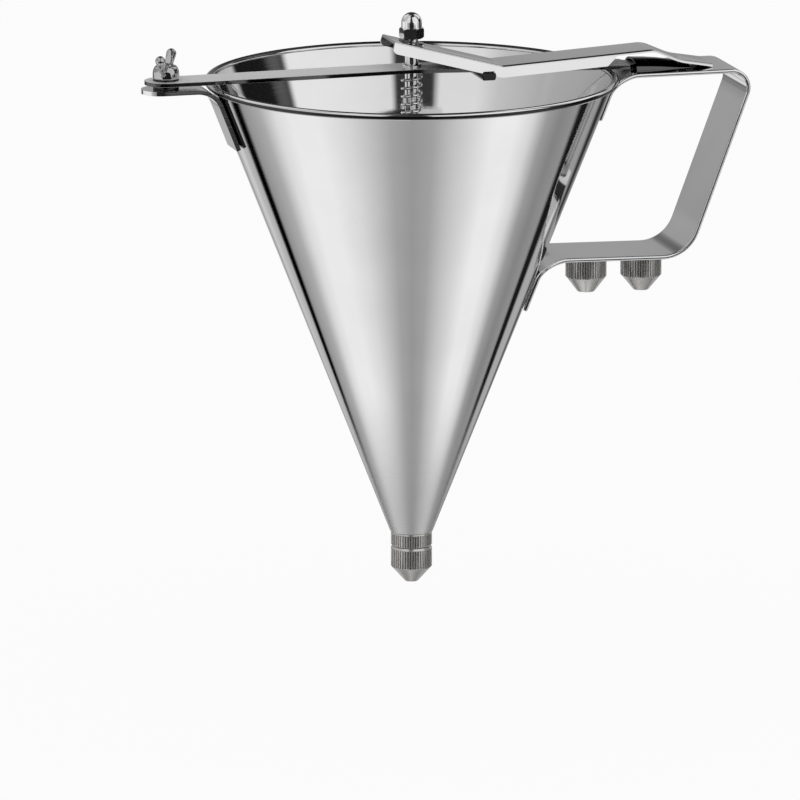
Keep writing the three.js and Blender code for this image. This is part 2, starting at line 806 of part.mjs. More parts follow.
// Domed nut on the rod's upper end
function capNut() {
  const hexTop = capNutHexHeight;
  const dome = capNutDomeDiameter / 2;
  const straight = capNutHeight - dome;
  const hexSides = 6;
  const hex = solid(bar(nutCorner, 0, hexTop, hexSides));
  const flats = capNutAcrossFlats / 2;
  const eased = solid(
    turned([
      [0, 0],
      [flats, 0],
      [nutCorner, nutCorner - flats],
      [nutCorner, hexTop - nutCorner + flats],
      [flats, hexTop],
      [0, hexTop],
    ]),
  );
  const quarter = Array.from({ length: bendSteps + 1 }, (_, i) => {
    const angle = (Math.PI * i) / (2 * bendSteps);
    return [dome * Math.cos(angle), straight + dome * Math.sin(angle)];
  });
  const top = solid(turned([[0, hexTop * overlapShare], [dome, hexTop * overlapShare], ...quarter]));
  const bore = solid(bar(slidingRadius, -overrun, capNutBoreDepth));
  return geometryOf(hex.intersect(eased).add(top).subtract(bore));
}

// Path of the spring's wire on the cylinder round the rod: arc length, height and slope at each step.
// Each end turns upright and runs straight for one wire diameter, square to what it meets.
function springPath(radius) {
  const climb = Math.atan(springPitch / (2 * Math.PI * radius));
  const bend = springTurnBend / (1 - Math.sin(climb));
  const turn = Math.PI / 2 - climb;
  const foot = springTop - springLength;
  const path = [{ run: 0, height: foot, slope: Math.PI / 2 }];
  for (let i = 0; i <= springTurnSteps; i += 1) {
    const slope = Math.PI / 2 - (turn * i) / springTurnSteps;
    const height = foot + wireDiameter + bend * Math.cos(slope);
    path.push({ run: bend * (1 - Math.sin(slope)), height, slope });
  }
  const start = path[path.length - 1];
  const curls = (springTop - foot - 2 * (start.height - foot)) / springPitch;
  const steps = Math.round(curls * curlSteps);
  for (let i = 1; i < steps; i += 1) {
    const angle = (2 * Math.PI * curls * i) / steps;
    const height = start.height + (springPitch * curls * i) / steps;
    path.push({ run: start.run + radius * angle, height, slope: climb });
  }
  const end = 2 * start.run + 2 * Math.PI * radius * curls;
  const mirrored = path.slice(0, springTurnSteps + 2).reverse();
  const upper = mirrored.map(({ run, height, slope }) => ({
    run: end - run,
    height: foot + springTop - height,
    slope,
  }));
  return [...path, ...upper];
}

// Least distance between the wire's surface and itself, away from neighbouring steps
function leastGap(points) {
  let least = Infinity;
  points.forEach((one, i) => {
    points.slice(i + curlSteps / 2).forEach((other) => {
      least = Math.min(least, one.distanceTo(other) - wireDiameter);
    });
  });
  return least;
}

// Return spring: one unbroken wire wound round the rod
function returnSpring() {
  const radius = (springDiameter - wireDiameter) / 2;
  const path = springPath(radius);
  const positions = [];
  const centres = [];
  path.forEach(({ run, height, slope }) => {
    const angle = run / radius;
    const outward = new THREE.Vector3(Math.cos(angle), Math.sin(angle), 0);
    const around = new THREE.Vector3(-Math.sin(angle), Math.cos(angle), 0);
    const along = around.multiplyScalar(Math.cos(slope)).add(new THREE.Vector3(0, 0, Math.sin(slope)));
    const across = along.clone().cross(outward);
    const centre = outward.clone().multiplyScalar(radius).setZ(height);
    centres.push(centre);
    for (let k = 0; k < wireSides; k += 1) {
      const turn = (2 * Math.PI * k) / wireSides;
      const edge = centre.clone().addScaledVector(outward, (wireDiameter / 2) * Math.cos(turn));
      positions.push(...edge.addScaledVector(across, (wireDiameter / 2) * Math.sin(turn)).toArray());
    }
  });
  const index = [];
  for (let i = 0; i < path.length - 1; i += 1) {
    for (let k = 0; k < wireSides; k += 1) {
      const [a, b] = [i * wireSides + k, i * wireSides + ((k + 1) % wireSides)];
      index.push(a, b, b + wireSides, a, b + wireSides, a + wireSides);
    }
  }
  const last = (path.length - 1) * wireSides;
  for (let k = 1; k < wireSides - 1; k += 1) {
    index.push(0, k + 1, k, last, last + k, last + k + 1);
  }
  console.log(`return spring: least gap to itself ${leastGap(centres).toFixed(2)} mm`);
  const geometry = new THREE.BufferGeometry();
  geometry.setAttribute("position", new THREE.Float32BufferAttribute(positions, 3));
  geometry.setIndex(index);
  return geometry;
}

// Finishes
const finish = (color, roughness, metalness) => new THREE.MeshStandardMaterial({ color, roughness, metalness });
const satin = () => finish(0xb9babb, 0.28, 1);
const polished = () => finish(0xc9c9ca, 0.1, 1);
const machined = () => finish(0xa6a5a2, 0.35, 1);
const plated = () => finish(0xc4c4c6, 0.15, 1);
const rubber = () => finish(0xd8d6cf, 0.6, 0);

const root = new THREE.Group();

// Named mesh of a geometry, at a place in the model
function add(name, geometry, material, x = 0, z = 0) {
  const mesh = new THREE.Mesh(welded(geometry), material);
  mesh.name = name;
  mesh.position.set(x, 0, z);
  root.add(mesh);
  return mesh;
}

const fittedLip = ferruleFoot - clearance;

add("funnel_cone", funnelCone(), satin());
add("outlet_ferrule", outletFerrule(), machined());
add("nozzle_fitted", nozzle(orifices.fitted), machined(), 0, fittedLip);
add("nozzle_gasket", nozzleGasket(), rubber(), 0, fittedLip);
add("handle_strip", handleStrip(), polished());

// Spare nozzle on its stud. Both are upright, and meet the sloping strip at the side where it is lowest.
function addSpare(place, reach, orifice) {
  const studHeight = undersideAt(reach + bossDiameter / 2);
  const lip = undersideAt(reach + nozzleDiameter / 2) - clearance;
  add(`spare_stud_${place}`, spareStud(), machined(), reach, studHeight);
  add(`nozzle_spare_${place}`, nozzle(orifice), machined(), reach, lip);
}
addSpare("inner", innerSpareReach, orifices.spareInner);
addSpare("outer", innerSpareReach + spareSpacing, orifices.spareOuter);

add("bar_keeper", barKeeper(), polished());
add("left_bracket", leftBracket(), polished());
add("clamp_stud", clampStud(), plated(), -studReach);
add("spacer_washer", spacerWasher(), plated(), -studReach);
add("lock_washer", lockWasher(), plated(), -studReach);
const wingNutMesh = add("wing_nut", wingNut(), plated(), -studReach, wingNutFoot);
wingNutMesh.rotation.z = THREE.MathUtils.degToRad(wingTurnDegrees);
add("cross_bar", crossBar(), satin());
add("guide_bushing", guideBushing(), plated());
add("pivot_pin", pivotPin(), plated());
add("lever", lever(), polished());
add("valve_rod", valveRod(), polished());
add("valve_plug", valvePlug(), machined());
add("plug_seal", plugSeal(), rubber());
add("return_spring", returnSpring(), plated());
add("spring_seat_washer", seatWasher(), plated());
add("retaining_clip", retainingClip(), plated());
const capWasherMesh = add("cap_washer", capWasher(), plated(), 0, capWasherFoot);
capWasherMesh.rotation.y = capTilt;
const capNutMesh = add("cap_nut", capNut(), plated(), 0, capNutFoot);
capNutMesh.rotation.z = THREE.MathUtils.degToRad(capNutTurnDegrees);

// The origin is the middle of the grip
const gripHeight = (topRun + lowerRunEnd) / 2;
const gripReach = (gripCornerReach + lowCornerReach) / 2;
root.position.set(-gripReach, 0, -gripHeight);
console.log(`pivot ${pivotReach - gripReach} ${pivotHeight - gripHeight}; axis ${-gripReach}; rim ${-gripHeight}`);
console.log(`seat ${seatWasherTop}; cap washer ${capWasherFoot}; cap nut ${capNutFoot}; spring ${springTop}`);

export default root;
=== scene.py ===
"""Funnel dispenser with a handle: a polished cone whose sprung valve a thumb lever lifts.

The sizes below are millimetres from the funnel's axis and the middle of its rolled rim, with the
handle along +X. The Workshop places each finished piece in the frame, in metres.
"""

import json
import logging
import math
from collections.abc import Callable
from dataclasses import dataclass, field
from enum import Enum

import bmesh
import bpy
from mathutils import Matrix, Vector

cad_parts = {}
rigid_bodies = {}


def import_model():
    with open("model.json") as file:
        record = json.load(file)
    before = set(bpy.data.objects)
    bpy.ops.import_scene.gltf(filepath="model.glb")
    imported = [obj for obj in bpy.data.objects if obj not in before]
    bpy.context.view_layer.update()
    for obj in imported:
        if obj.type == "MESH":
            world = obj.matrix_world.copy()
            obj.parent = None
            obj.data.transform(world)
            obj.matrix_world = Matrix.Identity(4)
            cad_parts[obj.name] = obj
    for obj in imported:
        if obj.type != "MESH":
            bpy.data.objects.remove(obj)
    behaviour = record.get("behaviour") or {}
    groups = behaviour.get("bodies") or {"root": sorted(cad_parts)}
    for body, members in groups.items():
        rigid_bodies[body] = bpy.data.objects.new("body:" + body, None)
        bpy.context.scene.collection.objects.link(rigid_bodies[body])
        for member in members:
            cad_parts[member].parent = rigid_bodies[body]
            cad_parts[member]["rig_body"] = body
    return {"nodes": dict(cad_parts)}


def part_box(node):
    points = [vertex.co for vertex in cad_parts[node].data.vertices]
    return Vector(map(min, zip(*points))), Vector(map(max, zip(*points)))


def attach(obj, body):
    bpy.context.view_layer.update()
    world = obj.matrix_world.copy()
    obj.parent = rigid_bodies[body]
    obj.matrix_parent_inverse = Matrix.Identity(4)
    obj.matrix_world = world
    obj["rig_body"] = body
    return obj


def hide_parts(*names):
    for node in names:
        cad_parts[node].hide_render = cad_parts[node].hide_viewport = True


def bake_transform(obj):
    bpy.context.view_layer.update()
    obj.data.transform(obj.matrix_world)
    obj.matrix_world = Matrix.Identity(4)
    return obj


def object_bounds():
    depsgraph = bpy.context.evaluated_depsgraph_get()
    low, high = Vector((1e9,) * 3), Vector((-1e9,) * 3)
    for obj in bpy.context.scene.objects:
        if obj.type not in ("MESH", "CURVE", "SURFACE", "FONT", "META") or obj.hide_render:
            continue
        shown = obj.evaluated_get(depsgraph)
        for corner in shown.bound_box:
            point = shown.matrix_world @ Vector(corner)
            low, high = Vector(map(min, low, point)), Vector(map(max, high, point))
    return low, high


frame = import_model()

CAD_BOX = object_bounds()
LOG = logging.getLogger("dispenser")

MM = 0.001
FULL_TURN = 2 * math.pi
RIGHT_ANGLE = math.pi / 2
UP = Vector((0, 0, 1))

# How far a cutting tool reaches, in millimetres. It is past everything that the tool cuts.
TOOL_REACH = 30.0

# Facets in the full turn of a washer or sleeve, of a bore, stud or pin, and of a dome.
ROUND_STEPS = 64
BORE_STEPS = 48
DOME_STEPS = 96

HEXAGON = 6

# Radius of the hole in the inner and the outer spare nozzle, in millimetres.
SPARE_ORIFICES = (3.0, 2.5)

# The part of a noise's range that the finishes use, how fine the noises are, how much of the polish
# the clouds decide, and the least roughness.
NOISE_SPAN = (0.3, 0.7)
LINE_DETAIL = 3.0
CLOUD_DETAIL = 4.0
CLOUD_SHARE = 0.5
LEAST_ROUGHNESS = 0.02


class Grain(Enum):
    """Direction of the fine lines that a maker's tools leave in a metal."""

    NONE = (1.0, 1.0, 1.0)
    ROUND_THE_AXIS = (0.004, 0.004, 1.0)
    ALONG_X = (0.012, 1.0, 1.0)


class Cut(Enum):
    """What one solid does to another."""

    JOIN = "UNION"
    CUT = "DIFFERENCE"
    KEEP_COMMON = "INTERSECT"


def add_node(
    tree: bpy.types.NodeTree,
    kind: str,
    values: dict[str | int, float | tuple[float, ...]] | None = None,
    **settings: str,
) -> bpy.types.Node:
    """Add a shader node to a material or to the world.

    Args:
        tree: The nodes that it joins.
        kind: Blender's name of the node, without ShaderNode.
        values: What its unlinked sockets hold, by the socket's name or number.
        settings: The node's own choices, such as its operation.

    Returns:
        The new node.
    """
    made = tree.nodes.new("ShaderNode" + kind)
    for choice, value in settings.items():
        setattr(made, choice, value)
    for socket, value in (values or {}).items():
        made.inputs[socket].default_value = value
    return made


@dataclass(frozen=True)
class Finish:
    """What every finish has: the material's name, its colour and its roughness."""

    name: str
    color: tuple[float, float, float]
    roughness: float

    def material(self) -> bpy.types.Material:
        """Build the node material, or find it where it is already made.

        Returns:
            The material, which reads Object coordinates only.
        """
        made = bpy.data.materials.get(self.name)
        if made is None:
            made = bpy.data.materials.new(self.name)
            made.use_nodes = True
            self.wire(made.node_tree)
        return made

    def wire(self, tree: bpy.types.NodeTree) -> None:
        """Add the finish's nodes to its new material.

        Args:
            tree: The material's nodes.
        """
        raise NotImplementedError

    def add_tint(
        self,
        tree: bpy.types.NodeTree,
        noise: bpy.types.NodeSocket,
        shade: float,
        span: tuple[float, float] = (0.0, 1.0),
    ) -> bpy.types.NodeSocket:
        """Let a noise darken the colour a little.

        Args:
            tree: The material's nodes.
            noise: The noise's output.
            shade: Share of the colour that is left where the noise is low.
            span: The noise's values at the darker and at the full colour.

        Returns:
            The output that gives the colour.
        """
        ramp = add_node(tree, "ValToRGB")
        darker, full = ramp.color_ramp.elements
        darker.position = span[0]
        darker.color = (*[channel * shade for channel in self.color], 1.0)
        full.position = span[1]
        full.color = (*self.color, 1.0)
        tree.links.new(noise, ramp.inputs["Fac"])
        return ramp.outputs["Color"]

    def add_relief(
        self,
        tree: bpy.types.NodeTree,
        noise: bpy.types.NodeSocket,
        height: float,
        strength: float = 1.0,
    ) -> None:
        """Let a noise raise the surface a little.

        Args:
            tree: The material's nodes.
            noise: The noise's output.
            height: How high it raises the surface, in metres.
            strength: The bump node's strength.
        """
        bump = add_node(tree, "Bump", {"Strength": strength, "Distance": height})
        tree.links.new(noise, bump.inputs["Height"])
        tree.links.new(bump.outputs["Normal"], tree.nodes["Principled BSDF"].inputs["Normal"])


@dataclass(frozen=True)
class MetalFinish(Finish):
    """A bare metal surface: its polish, its fine tool lines and where its polish fades.

    Attributes:
        roughness_spread: How far the roughness wanders to either side.
        grain: Direction of the tool lines.
        line_density: Scale of the noise that draws the lines.
        line_height: Height of the lines in metres.
        line_strength: The bump node's strength on them.
        cloud_scale: Scale of the broad noise in polish and tint.
        cloud_shade: Share of the colour that is left in the darker clouds.
        metallic: How much the surface mirrors as bare metal does.
        dull_by: Roughness added where the polish has faded, or zero.
        dull_metallic: The metallic value there.
        dull_shade: Share of the colour that is left there.
        dull_from: Height in the frame where the polish starts to fade, in metres.
        dull_to: Height in the frame where it has faded, in metres.
    """

    roughness_spread: float = 0.03
    grain: Grain = Grain.NONE
    line_density: float = 900.0
    line_height: float = 0.00001
    line_strength: float = 0.5
    cloud_scale: float = 35.0
    cloud_shade: float = 0.95
    metallic: float = 1.0
    dull_by: float = 0.0
    dull_metallic: float = 1.0
    dull_shade: float = 1.0
    dull_from: float = 0.0
    dull_to: float = 0.0

    def wire(self, tree: bpy.types.NodeTree) -> None:
        """Add the tool lines, the clouds, the polish and the tint.

        Args:
            tree: The material's nodes.
        """
        join = tree.links.new
        shader = tree.nodes["Principled BSDF"]
        shader.inputs["Metallic"].default_value = self.metallic
        place = add_node(tree, "TexCoord").outputs["Object"]
        stretch = add_node(tree, "Mapping", {"Scale": self.grain.value})
        join(place, stretch.inputs["Vector"])
        lines = add_node(tree, "TexNoise", {"Scale": self.line_density, "Detail": LINE_DETAIL})
        join(stretch.outputs["Vector"], lines.inputs["Vector"])
        clouds = add_node(tree, "TexNoise", {"Scale": self.cloud_scale, "Detail": CLOUD_DETAIL})
        join(place, clouds.inputs["Vector"])

        cloud_part = add_node(tree, "Math", {1: CLOUD_SHARE}, operation="MULTIPLY")
        join(clouds.outputs["Fac"], cloud_part.inputs[0])
        mean = add_node(tree, "Math", {1: 1 - CLOUD_SHARE}, operation="MULTIPLY_ADD")
        join(lines.outputs["Fac"], mean.inputs[0])
        join(cloud_part.outputs["Value"], mean.inputs[2])
        polish = add_node(
            tree,
            "MapRange",
            {
                "From Min": NOISE_SPAN[0],
                "From Max": NOISE_SPAN[1],
                "To Min": max(LEAST_ROUGHNESS, self.roughness - self.roughness_spread),
                "To Max": self.roughness + self.roughness_spread,
            },
        )
        join(mean.outputs["Value"], polish.inputs["Value"])

        tint = self.add_tint(tree, clouds.outputs["Fac"], self.cloud_shade, NOISE_SPAN)
        if self.dull_by > 0:
            self.fade_polish(tree, place, polish.outputs["Result"], tint)
        else:
            join(polish.outputs["Result"], shader.inputs["Roughness"])
            join(tint, shader.inputs["Base Color"])
        self.add_relief(tree, lines.outputs["Fac"], self.line_height, self.line_strength)

    def fade_polish(
        self,
        tree: bpy.types.NodeTree,
        place: bpy.types.NodeSocket,
        polish: bpy.types.NodeSocket,
        tint: bpy.types.NodeSocket,
    ) -> None:
        """Let the metal grow duller from one height to another.

        Args:
            tree: The material's nodes.
            place: The output that gives Object coordinates.
            polish: The output that gives the roughness of the polished metal.
            tint: The output that gives its colour.
        """
        join = tree.links.new
        shader = tree.nodes["Principled BSDF"]
        height = add_node(tree, "SeparateXYZ")
        join(place, height.inputs["Vector"])
        faded = add_node(
            tree,
            "MapRange",
            {"From Min": self.dull_from, "From Max": self.dull_to},
            interpolation_type="SMOOTHSTEP",
        )
        join(height.outputs["Z"], faded.inputs["Value"])
        rougher = add_node(tree, "Math", {1: self.dull_by}, operation="MULTIPLY_ADD")
        join(faded.outputs["Result"], rougher.inputs[0])
        join(polish, rougher.inputs[2])
        join(rougher.outputs["Value"], shader.inputs["Roughness"])
        loss = {1: self.dull_metallic - self.metallic, 2: self.metallic}
        bare = add_node(tree, "Math", loss, operation="MULTIPLY_ADD")
        join(faded.outputs["Result"], bare.inputs[0])
        join(bare.outputs["Value"], shader.inputs["Metallic"])
        grey = (self.dull_shade, self.dull_shade, self.dull_shade, 1.0)
        darker = add_node(tree, "Mix", {"B": grey}, data_type="RGBA", blend_type="MULTIPLY")
        join(faded.outputs["Result"], darker.inputs["Factor"])
        join(tint, darker.inputs["A"])
        join(darker.outputs["Result"], shader.inputs["Base Color"])


@dataclass(frozen=True)
class RubberFinish(Finish):
    """A soft moulded seal.

    Attributes:
        grain_density: Scale of the noise that draws its fine grain.
        grain_height: Height of the grain in metres.
        grain_shade: Share of the colour that is left in the grain's dark spots.
    """

    grain_density: float = 1200.0
    grain_height: float = 0.00004
    grain_shade: float = 0.9

    def wire(self, tree: bpy.types.NodeTree) -> None:
        """Add the fine grain and the tint.

        Args:
            tree: The material's nodes.
        """
        shader = tree.nodes["Principled BSDF"]
        shader.inputs["Roughness"].default_value = self.roughness
        place = add_node(tree, "TexCoord")
        grain = add_node(tree, "TexNoise", {"Scale": self.grain_density})
        tree.links.new(place.outputs["Object"], grain.inputs["Vector"])
        tint = self.add_tint(tree, grain.outputs["Fac"], self.grain_shade)
        tree.links.new(tint, shader.inputs["Base Color"])
        self.add_relief(tree, grain.outputs["Fac"], self.grain_height)


SPUN_SHEET = MetalFinish(
    "spun_sheet",
    color=(0.82, 0.82, 0.82),
    roughness=0.055,
    roughness_spread=0.015,
    grain=Grain.ROUND_THE_AXIS,
    line_density=1400.0,
    dull_by=0.22,
    dull_metallic=0.62,
    dull_shade=0.70,
    dull_from=-0.085,
    dull_to=-0.170,
)
MIRROR_STRIP = MetalFinish(
    "mirror_strip",
    color=(0.82, 0.82, 0.83),
    roughness=0.05,
    roughness_spread=0.015,
    grain=Grain.ALONG_X,
)
BRUSHED_BAR = MetalFinish(
    "brushed_bar",
    color=(0.95, 0.95, 0.95),
    roughness=0.35,
    roughness_spread=0.05,
    grain=Grain.ALONG_X,
    line_density=2500.0,
    line_height=0.00003,
    metallic=0.4,
)
TURNED_STEEL = MetalFinish(
    "turned_steel",
    color=(0.64, 0.63, 0.61),
    roughness=0.20,
    roughness_spread=0.06,
    grain=Grain.ROUND_THE_AXIS,
    line_density=2500.0,
    line_height=0.00003,
    metallic=0.7,
)
ROUNDED_EDGE = MetalFinish(
    "rounded_edge",
    color=(0.86, 0.86, 0.87),
    roughness=0.12,
    roughness_spread=0.02,
    line_height=0.0,
)
BRIGHT_FASTENER = MetalFinish(
    "bright_fastener",
    color=(0.84, 0.84, 0.85),
    roughness=0.06,
    roughness_spread=0.02,
    line_density=700.0,
    line_height=0.00002,
)
CAST_STEEL = MetalFinish(
    "cast_steel",
    color=(0.48, 0.48, 0.49),
    roughness=0.06,
    roughness_spread=0.02,
    line_density=700.0,
    line_height=0.00002,
)
# Near black painted shade and painted dark reflection: on the knurls' groove floors, the keeper, the bar's
# narrow edges, the lever's inner faces and the cap washer.
PAINTED_SHADE = MetalFinish(
    "painted_shade",
    color=(0.12, 0.12, 0.12),
    roughness=0.07,
    roughness_spread=0.02,
)
# Near black steel for the spacer, the lock washer and the pivot pin; on the rolled bead the same colour is
# painted shade and painted reflection.
DARK_STEEL_AND_PAINTED_SHADE = MetalFinish(
    "dark_steel_and_painted_shade",
    color=(0.05, 0.05, 0.05),
    roughness=0.20,
    roughness_spread=0.05,
)
POLISHED_ROD = MetalFinish(
    "polished_rod",
    color=(0.82, 0.82, 0.83),
    roughness=0.05,
    roughness_spread=0.015,
    grain=Grain.ROUND_THE_AXIS,
    line_density=2500.0,
)
SPRING_WIRE = MetalFinish(
    "spring_wire",
    color=(0.84, 0.84, 0.85),
    roughness=0.07,
    roughness_spread=0.02,
)
SILICONE = RubberFinish("silicone", color=(0.78, 0.76, 0.71), roughness=0.55)


def linked(name: str, shape: bmesh.types.BMesh) -> bpy.types.Object:
    """Turn a bmesh into an object of the scene.

    Args:
        name: The object's name.
        shape: The mesh in millimetres, which is freed.

    Returns:
        The new object.
    """
    mesh = bpy.data.meshes.new(name)
    shape.to_mesh(mesh)
    shape.free()
    made = bpy.data.objects.new(name, mesh)
    bpy.context.scene.collection.objects.link(made)
    return made


def faces_out(shape: bmesh.types.BMesh, tolerance: float = 0.001) -> bmesh.types.BMesh:
    """Merge doubled points and point every face outwards.

    Args:
        shape: A closed shape.
        tolerance: Points closer than this are one point.

    Returns:
        The same shape.
    """
    bmesh.ops.remove_doubles(shape, verts=shape.verts, dist=tolerance)
    bmesh.ops.dissolve_degenerate(shape, dist=tolerance, edges=shape.edges)
    bmesh.ops.recalc_face_normals(shape, faces=shape.faces)
    return shape


def outline(shape: bmesh.types.BMesh, points: list[Vector], closed: bool) -> list[bmesh.types.BMEdge]:
    """Draw a line of edges through points.

    Args:
        shape: The bmesh that takes them.
        points: The line's points in order.
        closed: True if the last point joins the first.

    Returns:
        The edges in order.
    """
    corners = [shape.verts.new(point) for point in points]
    ends = corners[1:] + corners[:1] if closed else corners[1:]
    return [shape.edges.new(pair) for pair in zip(corners, ends)]


def turned(profile: list[tuple[float, float]], steps: int) -> bmesh.types.BMesh:
    """Turn a profile about Z.

    Args:
        profile: Radius and height of each point. It closes on itself or ends on the axis.
        steps: Facets in the full turn.

    Returns:
        The closed shape.
    """
    shape = bmesh.new()
    points = [Vector((radius, 0, height)) for radius, height in profile]
    on_axis = profile[0][0] == 0 and profile[-1][0] == 0
    edges = outline(shape, points, closed=not on_axis)
    bmesh.ops.spin(
        shape,
        geom=edges + list(shape.verts),
        cent=(0, 0, 0),
        axis=UP,
        angle=FULL_TURN,
        steps=steps,
        use_merge=True,
    )
    return faces_out(shape)


def ring(inner: float, outer: float, low: float, high: float, ease: float) -> bmesh.types.BMesh:
    """Turn a ring with eased outer edges.

    Args:
        inner: Bore radius.
        outer: Outer radius.
        low: Height of the lower face.
        high: Height of the upper face.
        ease: Size of the small rounding on the outer edges.

    Returns:
        The closed shape.
    """
    mid_rounding = 0.3 * ease
    profile = [
        (inner, low),
        (outer - ease, low),
        (outer - mid_rounding, low + mid_rounding),
        (outer, low + ease),
        (outer, high - ease),
        (outer - mid_rounding, high - mid_rounding),
        (outer - ease, high),
        (inner, high),
    ]
    return turned(profile, ROUND_STEPS)


def cylinder(radius: float, low: float, high: float) -> bmesh.types.BMesh:
    """Turn a plain cylinder about Z, such as a drill.

    Args:
        radius: Its radius.
        low: Height of the lower face.
        high: Height of the upper face.

    Returns:
        The closed shape.
    """
    return turned([(0, low), (radius, low), (radius, high), (0, high)], BORE_STEPS)


def thread(crest: float, depth: float, start: float, pitch: float, turns: int) -> list[tuple[float, float]]:
    """List the profile of a thread, which is drawn as rings.

    Args:
        crest: Radius of the crests.
        depth: Depth of the roots.
        start: Height of the first root.
        pitch: Step from root to root, negative where the profile runs down.
        turns: Number of crests.

    Returns:
        Radius and height of each point.
    """
    points = []
    for i in range(turns):
        root = start + i * pitch
        points += [(crest - depth, root), (crest, root + pitch / 2)]
    return points


def oblong(left: float, right: float, low: float, high: float) -> list[tuple[float, float]]:
    """List the corners of an oblong.

    Args:
        left: First place along it.
        right: Last place along it.
        low: Its lower side.
        high: Its upper side.

    Returns:
        The four corners in order.
    """
    return [(left, low), (right, low), (right, high), (left, high)]


def moved(shape: bmesh.types.BMesh, reach: float, level: float = 0.0) -> bmesh.types.BMesh:
    """Move a shape.

    Args:
        shape: The shape.
        reach: Distance along X.
        level: Distance upwards.

    Returns:
        The same shape.
    """
    bmesh.ops.translate(shape, verts=shape.verts, vec=(reach, 0, level))
    return shape


def plate(points: list[tuple[float, float]], low: float, high: float) -> bmesh.types.BMesh:
    """Raise a flat outline into a plate.

    Args:
        points: The outline seen along Z.
        low: Height of the lower face.
        high: Height of the upper face.

    Returns:
        The closed shape.
    """
    shape = bmesh.new()
    edges = outline(shape, [Vector((x, y, low)) for x, y in points], closed=True)
    face = bmesh.ops.contextual_create(shape, geom=edges)["faces"]
    raised = bmesh.ops.extrude_face_region(shape, geom=face)["geom"]
    tops = [item for item in raised if isinstance(item, bmesh.types.BMVert)]
    bmesh.ops.translate(shape, verts=tops, vec=(0, 0, high - low))
    return faces_out(shape)


def sideways(points: list[tuple[float, float]], width: float) -> bmesh.types.BMesh:
    """Make a plate whose outline is seen along Y, with its middle at Y = 0.

    Args:
        points: The outline in X and Z.
        width: Size along Y.

    Returns:
        The closed shape.
    """
    shape = plate(points, -width / 2, width / 2)
    bmesh.ops.rotate(shape, verts=shape.verts, cent=(0, 0, 0), matrix=Matrix.Rotation(RIGHT_ANGLE, 3, "X"))
    return shape


def applied(piece: bpy.types.Object) -> None:
    """Make what an object's modifiers show its own mesh.

    Args:
        piece: The object, which then has no modifiers.
    """
    graph = bpy.context.evaluated_depsgraph_get()
    mesh = bpy.data.meshes.new_from_object(piece.evaluated_get(graph))
    piece.modifiers.clear()
    piece.data = mesh


def cut(base: bpy.types.Object, tool: bpy.types.Object, how: Cut) -> bpy.types.Object:
    """Join one solid to another, or cut it with the other.

    Args:
        base: The object that changes.
        tool: The other solid, which is removed.
        how: What happens.

    Returns:
        The changed object.
    """
    modifier = base.modifiers.new("cut", "BOOLEAN")
    modifier.object = tool
    modifier.operation = how.value
    modifier.solver = "EXACT"
    applied(base)
    bpy.data.objects.remove(tool)
    return base


def smooth_step(share: float) -> float:
    """Ease a share in and out, without a kink at either end."""
    return share * share * (3 - 2 * share)


def arc(
    centre: tuple[float, float],
    radius: float,
    start: float,
    end: float,
    steps: int,
) -> list[tuple[float, float]]:
    """List points on an arc.

    Args:
        centre: The arc's centre.
        radius: The arc's radius.
        start: First angle in radians.
        end: Last angle in radians.
        steps: Steps between them.

    Returns:
        The points.
    """
    angles = [start + (end - start) * i / steps for i in range(steps + 1)]
    return [(centre[0] + radius * math.cos(a), centre[1] + radius * math.sin(a)) for a in angles]


@dataclass
class Station:
    """One place along a bent line.

    Attributes:
        point: Where it is, in X and Z.
        along: The line's direction there.
        bend: Number of the bend that it is on or has just left.
        through: How far through that bend it is, from 0 to 1.
    """

    point: Vector
    along: Vector
    bend: int
    through: float

    def beside(self, distance: float) -> Vector:
        """Return the point at a distance to the left of the line."""
        return Vector((self.point.x - distance * self.along.y, self.point.y + distance * self.along.x))


def bent_line(corners: list[tuple[float, float]], radii: list[float], steps: int = 14) -> list[Station]:
    """Round the inner corners of a line.

    Args:
        corners: The corners in X and Z.
        radii: The radius at each inner corner.
        steps: Steps in each bend.

    Returns:
        The stations in order.
    """
    at = [Vector(corner) for corner in corners]
    legs = [(b - a).normalized() for a, b in zip(at, at[1:])]
    line = [Station(at[0], legs[0], 0, 1.0)]
    for number, radius in enumerate(radii, start=1):
        before, after = legs[number - 1], legs[number]
        angle = math.atan2(before.cross(after), before.dot(after))
        start = at[number] - before * radius * math.tan(abs(angle) / 2)
        centre = start + Vector((-before.y, before.x)) * math.copysign(radius, angle)
        for i in range(steps + 1):
            share = i / steps
            turn = Matrix.Rotation(angle * share, 2)
            line.append(Station(centre + turn @ (start - centre), turn @ before, number, share))
    line.append(Station(at[-1], legs[-1], len(radii) + 1, 0.0))
    return line


def finer(line: list[Station], longest: float) -> list[Station]:
    """Add stations so that no step is longer than given.

    Args:
        line: The stations.
        longest: The longest step.

    Returns:
        The stations with the added ones.
    """
    dense = [line[0]]
    for before, after in zip(line, line[1:]):
        count = max(1, math.ceil((after.point - before.point).length / longest))
        for i in range(1, count):
            point = before.point.lerp(after.point, i / count)
            mark = before if before.through == 1.0 else after
            dense.append(Station(point, before.along, mark.bend, mark.through))
        dense.append(after)
    return dense


